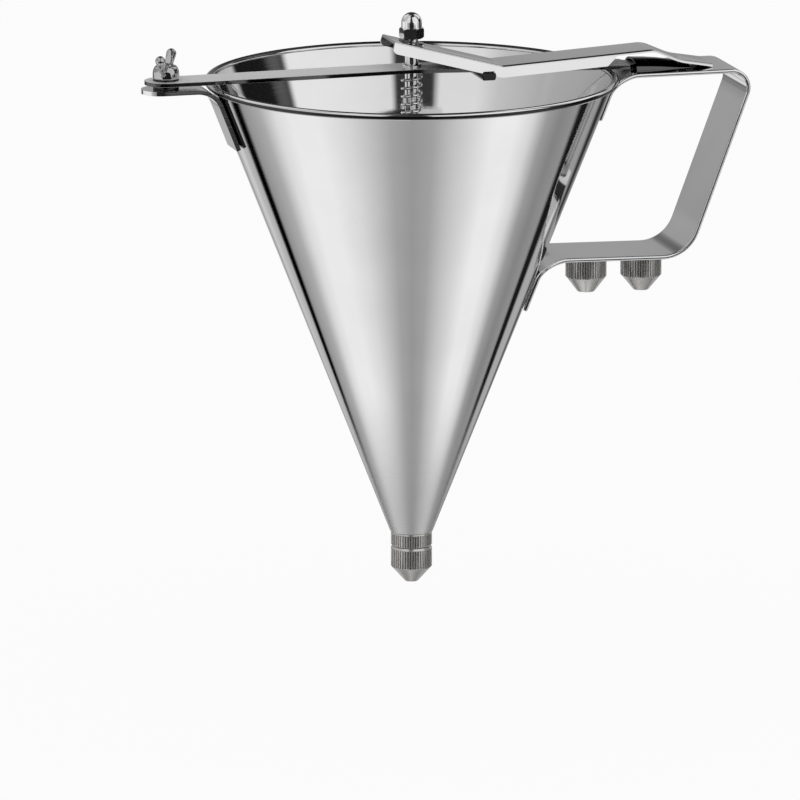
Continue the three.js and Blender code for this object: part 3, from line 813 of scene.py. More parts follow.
def ribbon(line: list[Station], half_width: Callable[[float], float], columns: int) -> bmesh.types.BMesh:
    """Spread a line along Y into a sheet without thickness.

    Args:
        line: The stations, in X and Z.
        half_width: A function that gives the half width at an X.
        columns: Strips across the sheet.

    Returns:
        The open sheet.
    """
    sheet = bmesh.new()
    edges = outline(sheet, [Vector((s.point.x, 0, s.point.y)) for s in line], closed=False)
    halves = [half_width(s.point.x) for s in line]
    rows = [[vert] for vert in sheet.verts]
    for row, half in zip(rows, halves):
        row[0].co.y = -half
    for column in range(1, columns + 1):
        spread = bmesh.ops.extrude_edge_only(sheet, edges=edges)["geom"]
        fresh = {item for item in spread if isinstance(item, bmesh.types.BMVert)}
        edges = [item for item in spread if isinstance(item, bmesh.types.BMEdge)]
        edges = [edge for edge in edges if fresh.issuperset(edge.verts)]
        for row, half in zip(rows, halves):
            after = next(e.other_vert(row[-1]) for e in row[-1].link_edges if e.other_vert(row[-1]) in fresh)
            after.co.y = half * (2 * column / columns - 1)
            row.append(after)
    bmesh.ops.recalc_face_normals(sheet, faces=sheet.faces)
    return sheet


@dataclass
class Workshop:
    """Places finished pieces in the frame and gives them their finish and body."""

    axis_x: float
    rim_z: float
    bevel_segments: int = 3
    made: list[str] = field(default_factory=list)

    def place(self) -> Matrix:
        """Return the matrix from millimetres at the rim to metres in the frame."""
        return Matrix.Translation((self.axis_x, 0, self.rim_z)) @ Matrix.Scale(MM, 4)

    def level(self, node: str, top: bool = False) -> float:
        """Return the height of a CAD node's lowest or highest point.

        Args:
            node: The node's name.
            top: True for the highest point.
        """
        return (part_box(node)[int(top)][2] - self.rim_z) / MM

    def deliver(
        self,
        piece: bpy.types.Object,
        node: str,
        finish: Finish,
        ease: float = 0.0,
        sharp_degrees: float = 32.0,
        rides: bool = True,
    ) -> bpy.types.Object:
        """Put a piece in its place and hand it to the frame.

        Args:
            piece: The object in millimetres.
            node: The CAD node that it stands for.
            finish: Its surface.
            ease: Width of the bevel on its sharp edges, or zero.
            sharp_degrees: Edges sharper than this are not shaded smooth.
            rides: False for a piece that bends between two bodies.

        Returns:
            The same object.
        """
        piece.data.transform(self.place())
        for polygon in piece.data.polygons:
            polygon.use_smooth = True
        piece.data.set_sharp_from_angle(angle=math.radians(sharp_degrees))
        if ease > 0:
            bevel = piece.modifiers.new("eased_edges", "BEVEL")
            bevel.width = ease * MM
            bevel.segments = self.bevel_segments
            bevel.limit_method = "ANGLE"
            bevel.angle_limit = math.radians(sharp_degrees)
            bevel.harden_normals = True
        piece.data.materials.clear()
        piece.data.materials.append(finish.material())
        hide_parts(node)
        if rides:
            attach(piece, frame["nodes"][node]["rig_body"])
        self.made.append(piece.name)
        LOG.info("%s stands for %s: %d faces", piece.name, node, len(piece.data.polygons))
        return piece

    def repaint(
        self,
        piece: bpy.types.Object,
        finish: Finish,
        chosen: Callable[[Vector, Vector], bool],
    ) -> None:
        """Give some faces of a delivered piece a second surface.

        Args:
            piece: The piece, in its place in the frame.
            finish: The second surface.
            chosen: Tells from a face's middle, in millimetres at the rim, and its normal
                whether it is one of them.
        """
        piece.data.materials.append(finish.material())
        to_rim = self.place().inverted()
        for polygon in piece.data.polygons:
            if chosen(to_rim @ polygon.center, polygon.normal):
                polygon.material_index = 1


@dataclass
class Funnel:
    """The sheet cone with its rolled rim.

    Attributes:
        bead_proud: How far the bead stands out past the wall.
        shade_under_bead: Angles round the bead, in degrees from outwards, between which it is painted dark as
            the shade in the crevice under the roll.
        reflection_over_bead: Angles round the bead between which its top and inner side are painted dark as a
            dark reflection.
        bead_reach: Faces nearer than this to the bead's centre line are the bead's.
    """

    shop: Workshop
    rim_radius: float = 95.0
    bead_radius: float = 1.6
    bead_proud: float = 0.2
    height: float = 212.0
    outlet_radius: float = 9.95
    sheet: float = 1.0
    steps: int = 256
    bead_steps: int = 40
    shade_under_bead: tuple[float, float] = (-42.0, 16.0)
    reflection_over_bead: tuple[float, float] = (80.0, 150.0)
    bead_reach: float = 1.92

    @property
    def bead_centre(self) -> float:
        """Radius of the bead's centre line."""
        return self.rim_radius - self.bead_radius

    @property
    def wall_radius(self) -> float:
        """Outer radius of the wall at the level of the bead's centre."""
        return self.bead_centre - self.bead_proud

    @property
    def slope(self) -> float:
        """How much the radius grows with height."""
        return (self.wall_radius - self.outlet_radius) / self.height

    @property
    def angle(self) -> float:
        """Angle between the wall and the axis."""
        return math.atan(self.slope)

    @property
    def wall_across(self) -> float:
        """Thickness of the wall measured level."""
        return self.sheet / math.cos(self.angle)

    def beside(self, height: float, distance: float) -> float:
        """Return the radius of a line outside the wall, at a height.

        Args:
            height: The level.
            distance: How far the line lies off the wall's outer face.
        """
        return self.wall_radius + self.slope * height + distance / math.cos(self.angle)

    def bead_entry(self, inset: float) -> float:
        """Return the angle, about the bead's centre, where a wall meets the bead from below.

        Args:
            inset: How far inside the bead's centre the wall's line crosses the rim's level.
        """
        a = 1 + self.slope**2
        b = -2 * inset * self.slope
        c = inset**2 - self.bead_radius**2
        height = (-b - math.sqrt(b**2 - 4 * a * c)) / (2 * a)
        return math.atan2(height, self.slope * height - inset)

    def paint_bead_shade(self, cone: bpy.types.Object) -> None:
        """Paint the bead's dark lines: shade in the crevice under the roll, and a dark reflection on its top
        and inner side.

        Args:
            cone: The spun cone, in its place in the frame.
        """

        def in_a_painted_band(centre: Vector, normal: Vector) -> bool:
            """Tell from its angle round the bead whether a face lies in one of the two painted bands."""
            off_bead = Vector((math.hypot(centre.x, centre.y) - self.bead_centre, centre.z))
            round_bead = math.degrees(math.atan2(off_bead.y, off_bead.x))
            in_shade_under = self.shade_under_bead[0] < round_bead < self.shade_under_bead[1]
            in_reflection_over = self.reflection_over_bead[0] < round_bead < self.reflection_over_bead[1]
            return off_bead.length < self.bead_reach and (in_shade_under or in_reflection_over)

        # The two bands are near black: painted shade under the roll and a painted dark reflection on top.
        self.shop.repaint(cone, DARK_STEEL_AND_PAINTED_SHADE, in_a_painted_band)

    def build(self) -> None:
        """Spin the wall and its bead in one piece."""
        start = self.bead_entry(self.bead_proud)
        end = self.bead_entry(self.bead_proud + self.wall_across) + FULL_TURN
        bead = arc((self.bead_centre, 0), self.bead_radius, start, end, self.bead_steps)
        outer_foot = (self.outlet_radius, -self.height)
        inner_foot = (self.outlet_radius - self.wall_across, -self.height)
        wall = turned([outer_foot, *bead, inner_foot], self.steps)
        self.paint_bead_shade(self.shop.deliver(linked("Spun_Cone", wall), "funnel_cone", SPUN_SHEET))


@dataclass
class Knurled:
    """Sizes that the ferrule and the nozzles share, and the way their ribs are cut.

    Attributes:
        chamfer: Width of the chamfer at either end of the ribs.
        chamfer_height: Its height at the upper end.
        seam: Slack in telling what lies on the ribs or on the floor between them.
        upright: Faces whose normal rises less than this are upright.
        points_per_rib: Points round one rib and its groove.
    """

    shop: Workshop
    radius: float = 9.55
    ribs: int = 48
    rib_depth: float = 0.45
    chamfer: float = 0.5
    chamfer_height: float = 1.0
    seam: float = 0.1
    upright: float = 0.1
    points_per_rib: int = 4

    def turned_with_ribs(
        self,
        profile: list[tuple[float, float]],
        low: float,
        high: float,
    ) -> bmesh.types.BMesh:
        """Turn a profile and press straight ribs into the part of it at full radius.

        Args:
            profile: Radius and height of each point.
            low: Lower end of the ribs.
            high: Upper end of the ribs.

        Returns:
            The closed shape.
        """
        shape = turned(profile, self.ribs * self.points_per_rib)
        step = FULL_TURN / (self.ribs * self.points_per_rib)
        for vert in shape.verts:
            reach = vert.co.xy.length
            in_ribs = low - self.seam < vert.co.z < high + self.seam
            place = round(math.atan2(vert.co.y, vert.co.x) / step) % self.points_per_rib
            in_groove = place >= self.points_per_rib / 2
            if in_ribs and in_groove and abs(reach - self.radius) < self.rib_depth / 2:
                vert.co.xy *= (self.radius - self.rib_depth) / self.radius
        return faces_out(shape)

    def paint_groove_shade(self, piece: bpy.types.Object, reach: float = 0.0) -> None:
        """Paint shade on the floors between the ribs, for the dark look of a fine knurl.

        Args:
            piece: The knurled piece, in its place in the frame.
            reach: Where its axis stands along X.
        """

        def on_a_shaded_floor(centre: Vector, normal: Vector) -> bool:
            """Tell whether a face is upright and lies at the depth of the grooves."""
            off_axis = math.hypot(centre.x - reach, centre.y)
            floor = self.radius - self.rib_depth
            return abs(off_axis - floor) < self.seam / 2 and abs(normal.z) < self.upright

        # The groove floors are near black: painted shade in the grooves.
        self.shop.repaint(piece, PAINTED_SHADE, on_a_shaded_floor)


@dataclass
class Outlet(Knurled):
    """The ferrule under the cone, with the screw boss that takes the fitted nozzle."""

    top: float = -212.0
    height: float = 6.9
    spigot_radius: float = 8.55
    spigot_height: float = 3.0
    bore: float = 4.5
    boss_radius: float = 7.0
    boss_length: float = 6.4
    thread_depth: float = 0.4
    thread_lead: float = 0.9
    thread_pitch: float = 1.0
    thread_turns: int = 5

    @property
    def foot(self) -> float:
        """Height of the knurled ring's lower face."""
        return self.top - self.height

    def build(self) -> None:
        """Turn and knurl the ferrule."""
        shoulder, crown = self.radius - self.chamfer, self.radius
        low, high = self.foot + self.chamfer, self.top - self.chamfer_height - 2 * self.seam
        boss_foot = self.foot - self.boss_length
        boss_core = self.boss_radius - self.thread_depth
        seat = self.top + self.spigot_height
        start = self.foot - self.thread_lead
        profile = [
            (self.bore, seat),
            (self.spigot_radius, seat),
            (self.spigot_radius, self.top),
            (shoulder, self.top),
            (crown, self.top - self.chamfer_height),
            (crown, high),
            (crown, low),
            (shoulder, self.foot),
            (boss_core, self.foot),
            *thread(self.boss_radius, self.thread_depth, start, -self.thread_pitch, self.thread_turns),
            (boss_core, boss_foot),
            (self.bore, boss_foot),
        ]
        ferrule = linked("Knurled_Ferrule", self.turned_with_ribs(profile, low, high))
        self.shop.deliver(ferrule, "outlet_ferrule", TURNED_STEEL, sharp_degrees=25)
        self.paint_groove_shade(ferrule)


@dataclass
class Nozzle(Knurled):
    """A screw-on nozzle that hangs from a lip.

    Attributes:
        reach: Where the nozzle's axis stands along X.
        lip: Height of its upper face.
        cone_step: Size of the step from the ribs to the cone.
        funnel_radius: Radius of the bore under the socket.
        tip_land: Length of the orifice's straight part.
    """

    node: str = "nozzle_fitted"
    name: str = "Nozzle_Fitted"
    reach: float = 0.0
    lip: float = -219.2
    orifice: float = 2.0
    height: float = 16.8
    ribs_height: float = 9.6
    socket_radius: float = 7.3
    socket_depth: float = 7.5
    funnel_radius: float = 4.5
    tip_wall: float = 0.8
    tip_ease: float = 0.25
    tip_land: float = 1.0
    cone_step: float = 0.35

    def build(self) -> None:
        """Turn and knurl the nozzle and hang it from its lip."""
        tip = self.orifice + self.tip_wall
        low, high = -self.ribs_height, -self.chamfer_height - 2 * self.seam
        profile = [
            (self.socket_radius, 0),
            (self.radius - self.chamfer, 0),
            (self.radius, -self.chamfer_height),
            (self.radius, high),
            (self.radius, low),
            (self.radius - self.cone_step, low - self.cone_step),
            (tip + self.tip_ease, -self.height),
            (self.orifice, -self.height),
            (self.orifice, -self.height + self.tip_land),
            (self.funnel_radius, -self.socket_depth - self.tip_land),
            (self.funnel_radius, -self.socket_depth),
            (self.socket_radius, -self.socket_depth),
        ]
        shape = moved(self.turned_with_ribs(profile, low, high), self.reach, self.lip)
        piece = self.shop.deliver(linked(self.name, shape), self.node, TURNED_STEEL, sharp_degrees=25)
        self.paint_groove_shade(piece, self.reach)


@dataclass
class Gasket:
    """The flat ring in the fitted nozzle's socket."""

    shop: Workshop
    nozzle: Nozzle
    inner: float = 4.5
    outer: float = 7.0
    thickness: float = 0.8
    ease: float = 0.15

    def build(self) -> None:
        """Turn the ring."""
        low = self.nozzle.lip - self.nozzle.socket_depth
        shape = ring(self.inner, self.outer, low, low + self.thickness, self.ease)
        self.shop.deliver(linked("Nozzle_Gasket", shape), "nozzle_gasket", SILICONE)


@dataclass
class Handle:
    """The D handle bent from one strip, with the two studs for spare nozzles.

    Attributes:
        gap: Clearance between the tails and the cone.
        lower_run_drop: How much lower the outer end of the lower run is than its inner end.
        corner_reach: Where the upper outer corner would be without its bend.
        lean_degrees: Lean of the grip from upright.
        bends: Radius of each bend, from the upper tail to the lower one.
        columns: Strips across the sheet, which let the tails follow the cone.
    """

    shop: Workshop
    funnel: Funnel
    gap: float = 0.3
    thickness: float = 2.0
    width: float = 38.0
    top_face: float = 1.2
    lower_face: float = -83.5
    lower_run_drop: float = 1.4
    upper_tail: float = 22.8
    lower_tail: float = 25.7
    corner_reach: float = 159.7
    lean_degrees: float = 20.5
    bends: tuple[float, ...] = (14.0, 8.0, 17.5, 13.0)
    columns: int = 20
    longest_step: float = 6.0
    stud_reaches: tuple[float, ...] = (83.8, 110.4)
    stud_radius: float = 7.0
    stud_length: float = 6.4
    thread_depth: float = 0.4
    thread_lead: float = 0.9
    thread_pitch: float = 1.0
    thread_turns: int = 5

    def line(self) -> list[Station]:
        """Return the middle of the strip, from the upper tail round to the lower one."""
        top = self.top_face - self.thickness / 2
        low = self.lower_face - self.thickness / 2
        low_end = low - self.lower_run_drop
        off = self.gap + self.thickness / 2
        lean = math.tan(math.radians(self.lean_degrees))
        fall = math.cos(self.funnel.angle)
        upper_end = self.top_face - self.upper_tail * fall
        lower_end = self.lower_face - self.lower_tail * fall
        corners = [
            (self.funnel.beside(upper_end, off), upper_end),
            (self.funnel.beside(top, off), top),
            (self.corner_reach, top),
            (self.corner_reach - (top - low_end) * lean, low_end),
            (self.funnel.beside(low, off), low),
            (self.funnel.beside(lower_end, off), lower_end),
        ]
        return finer(bent_line(corners, list(self.bends)), self.longest_step)

    def build_strip(self) -> None:
        """Bend the strip, lay its tails round the cone and give it its thickness."""
        line = self.line()
        last = line[-1].bend
        sheet = ribbon(line, lambda x: self.width / 2, self.columns)
        shares = {}
        for station in line:
            share = 0.0
            if station.bend in (0, last):
                share = 1.0
            elif station.bend == 1:
                share = 1 - station.through
            elif station.bend == last - 1:
                share = station.through
            key = (round(station.point.x, 3), round(station.point.y, 3))
            shares[key] = smooth_step(share)
        for vert in sheet.verts:
            x, y = vert.co.x, vert.co.y
            share = shares[(round(x, 3), round(vert.co.z, 3))]
            vert.co.x = x - share * (x - math.sqrt(x * x - y * y))
        strip = linked("Handle_Strip", sheet)
        wall = strip.modifiers.new("thickness", "SOLIDIFY")
        wall.thickness = self.thickness * MM
        wall.offset = 0.0
        wall.use_even_offset = True
        wall.material_offset_rim = 1
        self.shop.deliver(strip, "handle_strip", MIRROR_STRIP, ease=0.85, sharp_degrees=50)
        strip.data.materials.append(ROUNDED_EDGE.material())

    def build_studs(self) -> None:
        """Turn the threaded studs under the lower run."""
        for reach, node in zip(self.stud_reaches, ("spare_stud_inner", "spare_stud_outer")):
            underside = self.shop.level(node, top=True)
            foot = underside - self.stud_length
            core = self.stud_radius - self.thread_depth
            start = underside - self.thread_lead
            profile = [
                (0, underside),
                (core, underside),
                *thread(self.stud_radius, self.thread_depth, start, -self.thread_pitch, self.thread_turns),
                (core, foot),
                (0, foot),
            ]
            shape = moved(turned(profile, ROUND_STEPS), reach)
            self.shop.deliver(linked(node.title(), shape), node, TURNED_STEEL, sharp_degrees=25)

    def build(self) -> None:
        """Make the strip and its studs."""
        self.build_strip()
        self.build_studs()


@dataclass
class Keeper:
    """The arched plate on the handle that holds the bar's tongue.

    Attributes:
        reach: Where its mouth stands along X.
        shares: Height of the arch at even steps from its mouth, as shares of the mouth's.
    """

    shop: Workshop
    foot: float = 1.2
    reach: float = 104.9
    length: float = 26.0
    width: float = 20.0
    thickness: float = 1.0
    mouth_height: float = 4.5
    shares: tuple[float, ...] = (1.0, 0.93, 0.78, 0.54, 0.33)
    columns: int = 28
    rows: int = 16

    def share(self, through: float) -> float:
        """Return the arch's height at a place along it, as a share of the mouth's height.

        Args:
            through: 0 at the mouth and 1 at the far end.
        """
        at = through * (len(self.shares) - 1)
        first = min(int(at), len(self.shares) - 2)
        return self.shares[first] + (self.shares[first + 1] - self.shares[first]) * (at - first)

    def build(self) -> None:
        """Bend the arch from a flat sheet and close it into a plate."""
        flat = [Station(Vector((i / self.rows, 0)), Vector((1, 0)), 0, 0) for i in range(self.rows + 1)]
        outer = ribbon(flat, lambda x: 1.0, self.columns)
        faces = list(outer.faces)
        twin = bmesh.ops.duplicate(outer, geom=list(outer.verts) + list(outer.edges) + faces)["geom"]
        inner = {item for item in twin if isinstance(item, bmesh.types.BMVert)}
        for vert in outer.verts:
            inset = self.thickness if vert in inner else 0.0
            through, angle = vert.co.x, RIGHT_ANGLE * vert.co.y
            height = self.mouth_height * self.share(through) - inset
            vert.co.x = self.reach + self.length * through
            vert.co.y = (self.width / 2 - inset) * math.sin(angle)
            vert.co.z = self.foot + height * math.cos(angle)
        rims = [edge for edge in outer.edges if len(edge.link_faces) == 1]
        bmesh.ops.bridge_loops(outer, edges=rims)
        shape = faces_out(outer)
        # The whole keeper is near black: painted shade and a painted dark reflection of the hand that holds
        # the dispenser.
        self.shop.deliver(linked("Bar_Keeper", shape), "bar_keeper", PAINTED_SHADE, ease=0.2, sharp_degrees=45)


@dataclass
class Clamp:
    """The left bracket with its stud, washers and wing nut.

    Attributes:
        reach: Where the stud stands along X.
        bracket_end: Length of the bracket past the stud.
        least_half: Half width of the bracket at its very end.
        hub_waist: Height at which the hub starts to narrow.
        tip_swell: Thickness of a wing's tip as a share of its root's.
        free_from: Share of the hub's radius past which the wings are rounded.
        free_over: Share of the hub's radius over which the rounding sets in.
        edge_thinning: How nearly a wing's section closes at its outline, from 0 to 1.
        cast_grain: Mesh size of the softened casting.
    """

    shop: Workshop
    funnel: Funnel
    reach: float = -115.8
    bracket_width: float = 18.0
    bracket_end: float = 11.5
    bracket_top: float = 1.6
    bracket_thickness: float = 2.0
    tail: float = 31.0
    bend: float = 12.2
    end_steps: int = 14
    least_half: float = 0.4
    longest_step: float = 5.0
    columns: int = 10
    gap: float = 0.3
    stud_radius: float = 3.0
    stud_length: float = 10.8
    stud_rounding: float = 0.5
    stud_tip_inset: float = 0.8
    thread_depth: float = 0.35
    thread_lead: float = 0.4
    thread_pitch: float = 1.0
    washer_radius: float = 6.0
    spacer: float = 2.0
    spacer_ease: float = 0.25
    bar_thickness: float = 1.8
    lock_thickness: float = 0.7
    lock_slit: float = 1.2
    lock_ease: float = 0.15
    hub_radius: float = 6.1
    hub_waist: float = 2.0
    hub_height: float = 6.2
    hub_ease: float = 0.3
    neck_radius: float = 4.1
    ball_steps: int = 10
    wing_foot: float = 2.0
    wing_reach: float = 12.6
    wing_top: float = 12.2
    wing_tip_radius: float = 2.3
    wing_thickness: float = 2.8
    wing_turn_degrees: float = 62.5
    wing_steps: int = 14
    tip_swell: float = 1.8
    free_from: float = 0.8
    free_over: float = 0.3
    edge_thinning: float = 0.97
    cast_grain: float = 0.24
    smoothing: float = 0.5
    smoothing_rounds: int = 14

    @property
    def lock_foot(self) -> float:
        """Height of the lock washer's lower face."""
        return self.bracket_top + self.spacer + self.bar_thickness

    @property
    def nut_foot(self) -> float:
        """Height of the wing nut's lower face."""
        return self.lock_foot + self.lock_thickness

    def build_bracket(self) -> None:
        """Bend the strip over the rim, with its outer end round."""
        half = self.bracket_width / 2
        level = self.bracket_top - self.bracket_thickness / 2
        off = self.gap + self.bracket_thickness / 2
        tail_end = self.bracket_top - self.tail * math.cos(self.funnel.angle)
        corners = [
            (self.reach - self.bracket_end, level),
            (-self.funnel.beside(level, off), level),
            (-self.funnel.beside(tail_end, off), tail_end),
        ]
        line = bent_line(corners, [self.bend])
        centre = self.reach - self.bracket_end + half
        end = line[0]
        round_end = []
        for i in range(self.end_steps):
            x = centre - half * math.cos(RIGHT_ANGLE * i / self.end_steps)
            round_end.append(Station(Vector((x, level)), end.along, 0, 1.0))

        def half_width(x: float) -> float:
            """Return the bracket's half width at a place along X."""
            if x >= centre:
                return half
            return max(self.least_half, math.sqrt(max(0.0, half**2 - (x - centre) ** 2)))

        middle = Station(Vector((centre, level)), end.along, 0, 1.0)
        whole = finer([*round_end, middle, *line[1:]], self.longest_step)
        bracket = linked("Left_Bracket", ribbon(whole, half_width, self.columns))
        wall = bracket.modifiers.new("thickness", "SOLIDIFY")
        wall.thickness = self.bracket_thickness * MM
        wall.offset = 0.0
        self.shop.deliver(bracket, "left_bracket", MIRROR_STRIP, ease=0.3, sharp_degrees=50)

    def build_stud(self) -> None:
        """Turn the stud with its thread and rounded end."""
        core = self.stud_radius - self.thread_depth
        top = self.bracket_top + self.stud_length
        start = self.bracket_top + self.thread_lead
        turns = int(self.stud_length / self.thread_pitch) - 1
        profile = [
            (0, self.bracket_top),
            (core, self.bracket_top),
            *thread(self.stud_radius, self.thread_depth, start, self.thread_pitch, turns),
            (core, top - self.stud_rounding),
            (self.stud_radius - self.stud_tip_inset, top),
            (0, top),
        ]
        shape = moved(turned(profile, BORE_STEPS), self.reach)
        self.shop.deliver(linked("Clamp_Stud", shape), "clamp_stud", BRIGHT_FASTENER, sharp_degrees=25)

    def build_washers(self) -> None:
        """Turn the spacer and slit the lock washer."""
        bore, radius = self.stud_radius + self.gap, self.washer_radius
        low = self.bracket_top
        spacer = ring(bore, radius, low, low + self.spacer, self.spacer_ease)
        self.shop.deliver(linked("Spacer_Washer", moved(spacer, self.reach)), "spacer_washer", DARK_STEEL_AND_PAINTED_SHADE)
        lock = linked("Lock_Washer", ring(bore, radius, self.lock_foot, self.nut_foot, self.lock_ease))
        half = self.lock_slit / 2
        slit = plate(oblong(0, 2 * radius, -half, half), 0, 2 * self.nut_foot)
        cut(lock, linked("slit", slit), Cut.CUT)
        lock.data.transform(Matrix.Translation((self.reach, 0, 0)))
        self.shop.deliver(lock, "lock_washer", DARK_STEEL_AND_PAINTED_SHADE)

    def round_wings(self, nut: bpy.types.Object) -> None:
        """Give the wings round sections, full along their middle and thin at their outline.

        Args:
            nut: The closely meshed nut on its own axis, with its wings along X.
        """
        tip = Vector((self.wing_reach - self.wing_tip_radius, self.wing_top - self.wing_tip_radius))
        root = Vector((self.hub_radius / 2, (self.wing_foot + self.hub_height) / 2))
        span = tip - root
        for vert in nut.data.vertices:
            here = Vector((abs(vert.co.x), vert.co.z))
            along = max(0.0, min(1.0, (here - root).dot(span) / span.length_squared))
            out = min(1.0, (here - root.lerp(tip, along)).length / self.wing_tip_radius)
            free = (here.x / self.hub_radius - self.free_from) / self.free_over
            free = max(0.0, min(1.0, free))
            vert.co.y *= 1 - free * (1 - math.sqrt(1.0 - self.edge_thinning * out**2))

    def build_wing_nut(self) -> None:
        """Join the hub and the two wings and soften them as a casting."""
        bore = self.stud_radius + self.gap
        bulge, rise = self.hub_radius - self.neck_radius, self.hub_height - self.hub_waist
        ball = [
            (self.neck_radius + bulge * math.cos(angle), self.hub_waist + rise * math.sin(angle))
            for angle in (RIGHT_ANGLE * i / self.ball_steps for i in range(self.ball_steps + 1))
        ]
        edge = [(0, 0), (self.hub_radius - self.hub_ease, 0), (self.hub_radius, self.hub_ease)]
        hub = turned([*edge, *ball, (0, self.hub_height)], ROUND_STEPS)
        nut = linked("Wing_Nut", hub)
        tip = self.wing_tip_radius
        centre = (self.wing_reach - tip, self.wing_top - tip)
        wing_outline = [
            (self.hub_radius / 2, self.wing_foot),
            (self.hub_radius, self.wing_foot),
            *arc(centre, tip, -math.pi / 4, 3 * math.pi / 4, self.wing_steps),
            (self.hub_radius / 2, self.hub_height),
        ]
        for turn in (0.0, math.pi):
            wing = linked("wing", sideways(wing_outline, self.wing_thickness))
            for vert in wing.data.vertices:
                vert.co.y *= 1 + (self.tip_swell - 1) * max(0.0, vert.co.x / self.wing_reach)
            wing.data.transform(Matrix.Rotation(turn, 4, "Z"))
            cut(nut, wing, Cut.JOIN)
        softened = nut.modifiers.new("casting", "REMESH")
        softened.mode = "VOXEL"
        softened.voxel_size = self.cast_grain
        applied(nut)
        self.round_wings(nut)
        smoothed = nut.modifiers.new("fettling", "SMOOTH")
        smoothed.factor = self.smoothing
        smoothed.iterations = self.smoothing_rounds
        applied(nut)
        cut(nut, linked("hole", cylinder(bore, -TOOL_REACH, TOOL_REACH)), Cut.CUT)
        turn = Matrix.Rotation(math.radians(self.wing_turn_degrees), 4, "Z")
        nut.data.transform(Matrix.Translation((self.reach, 0, self.nut_foot)) @ turn)
        self.shop.deliver(nut, "wing_nut", CAST_STEEL, sharp_degrees=50)

    def build(self) -> None:
        """Make the bracket and everything on its stud."""
        self.build_bracket()
        self.build_stud()
        self.build_washers()
        self.build_wing_nut()


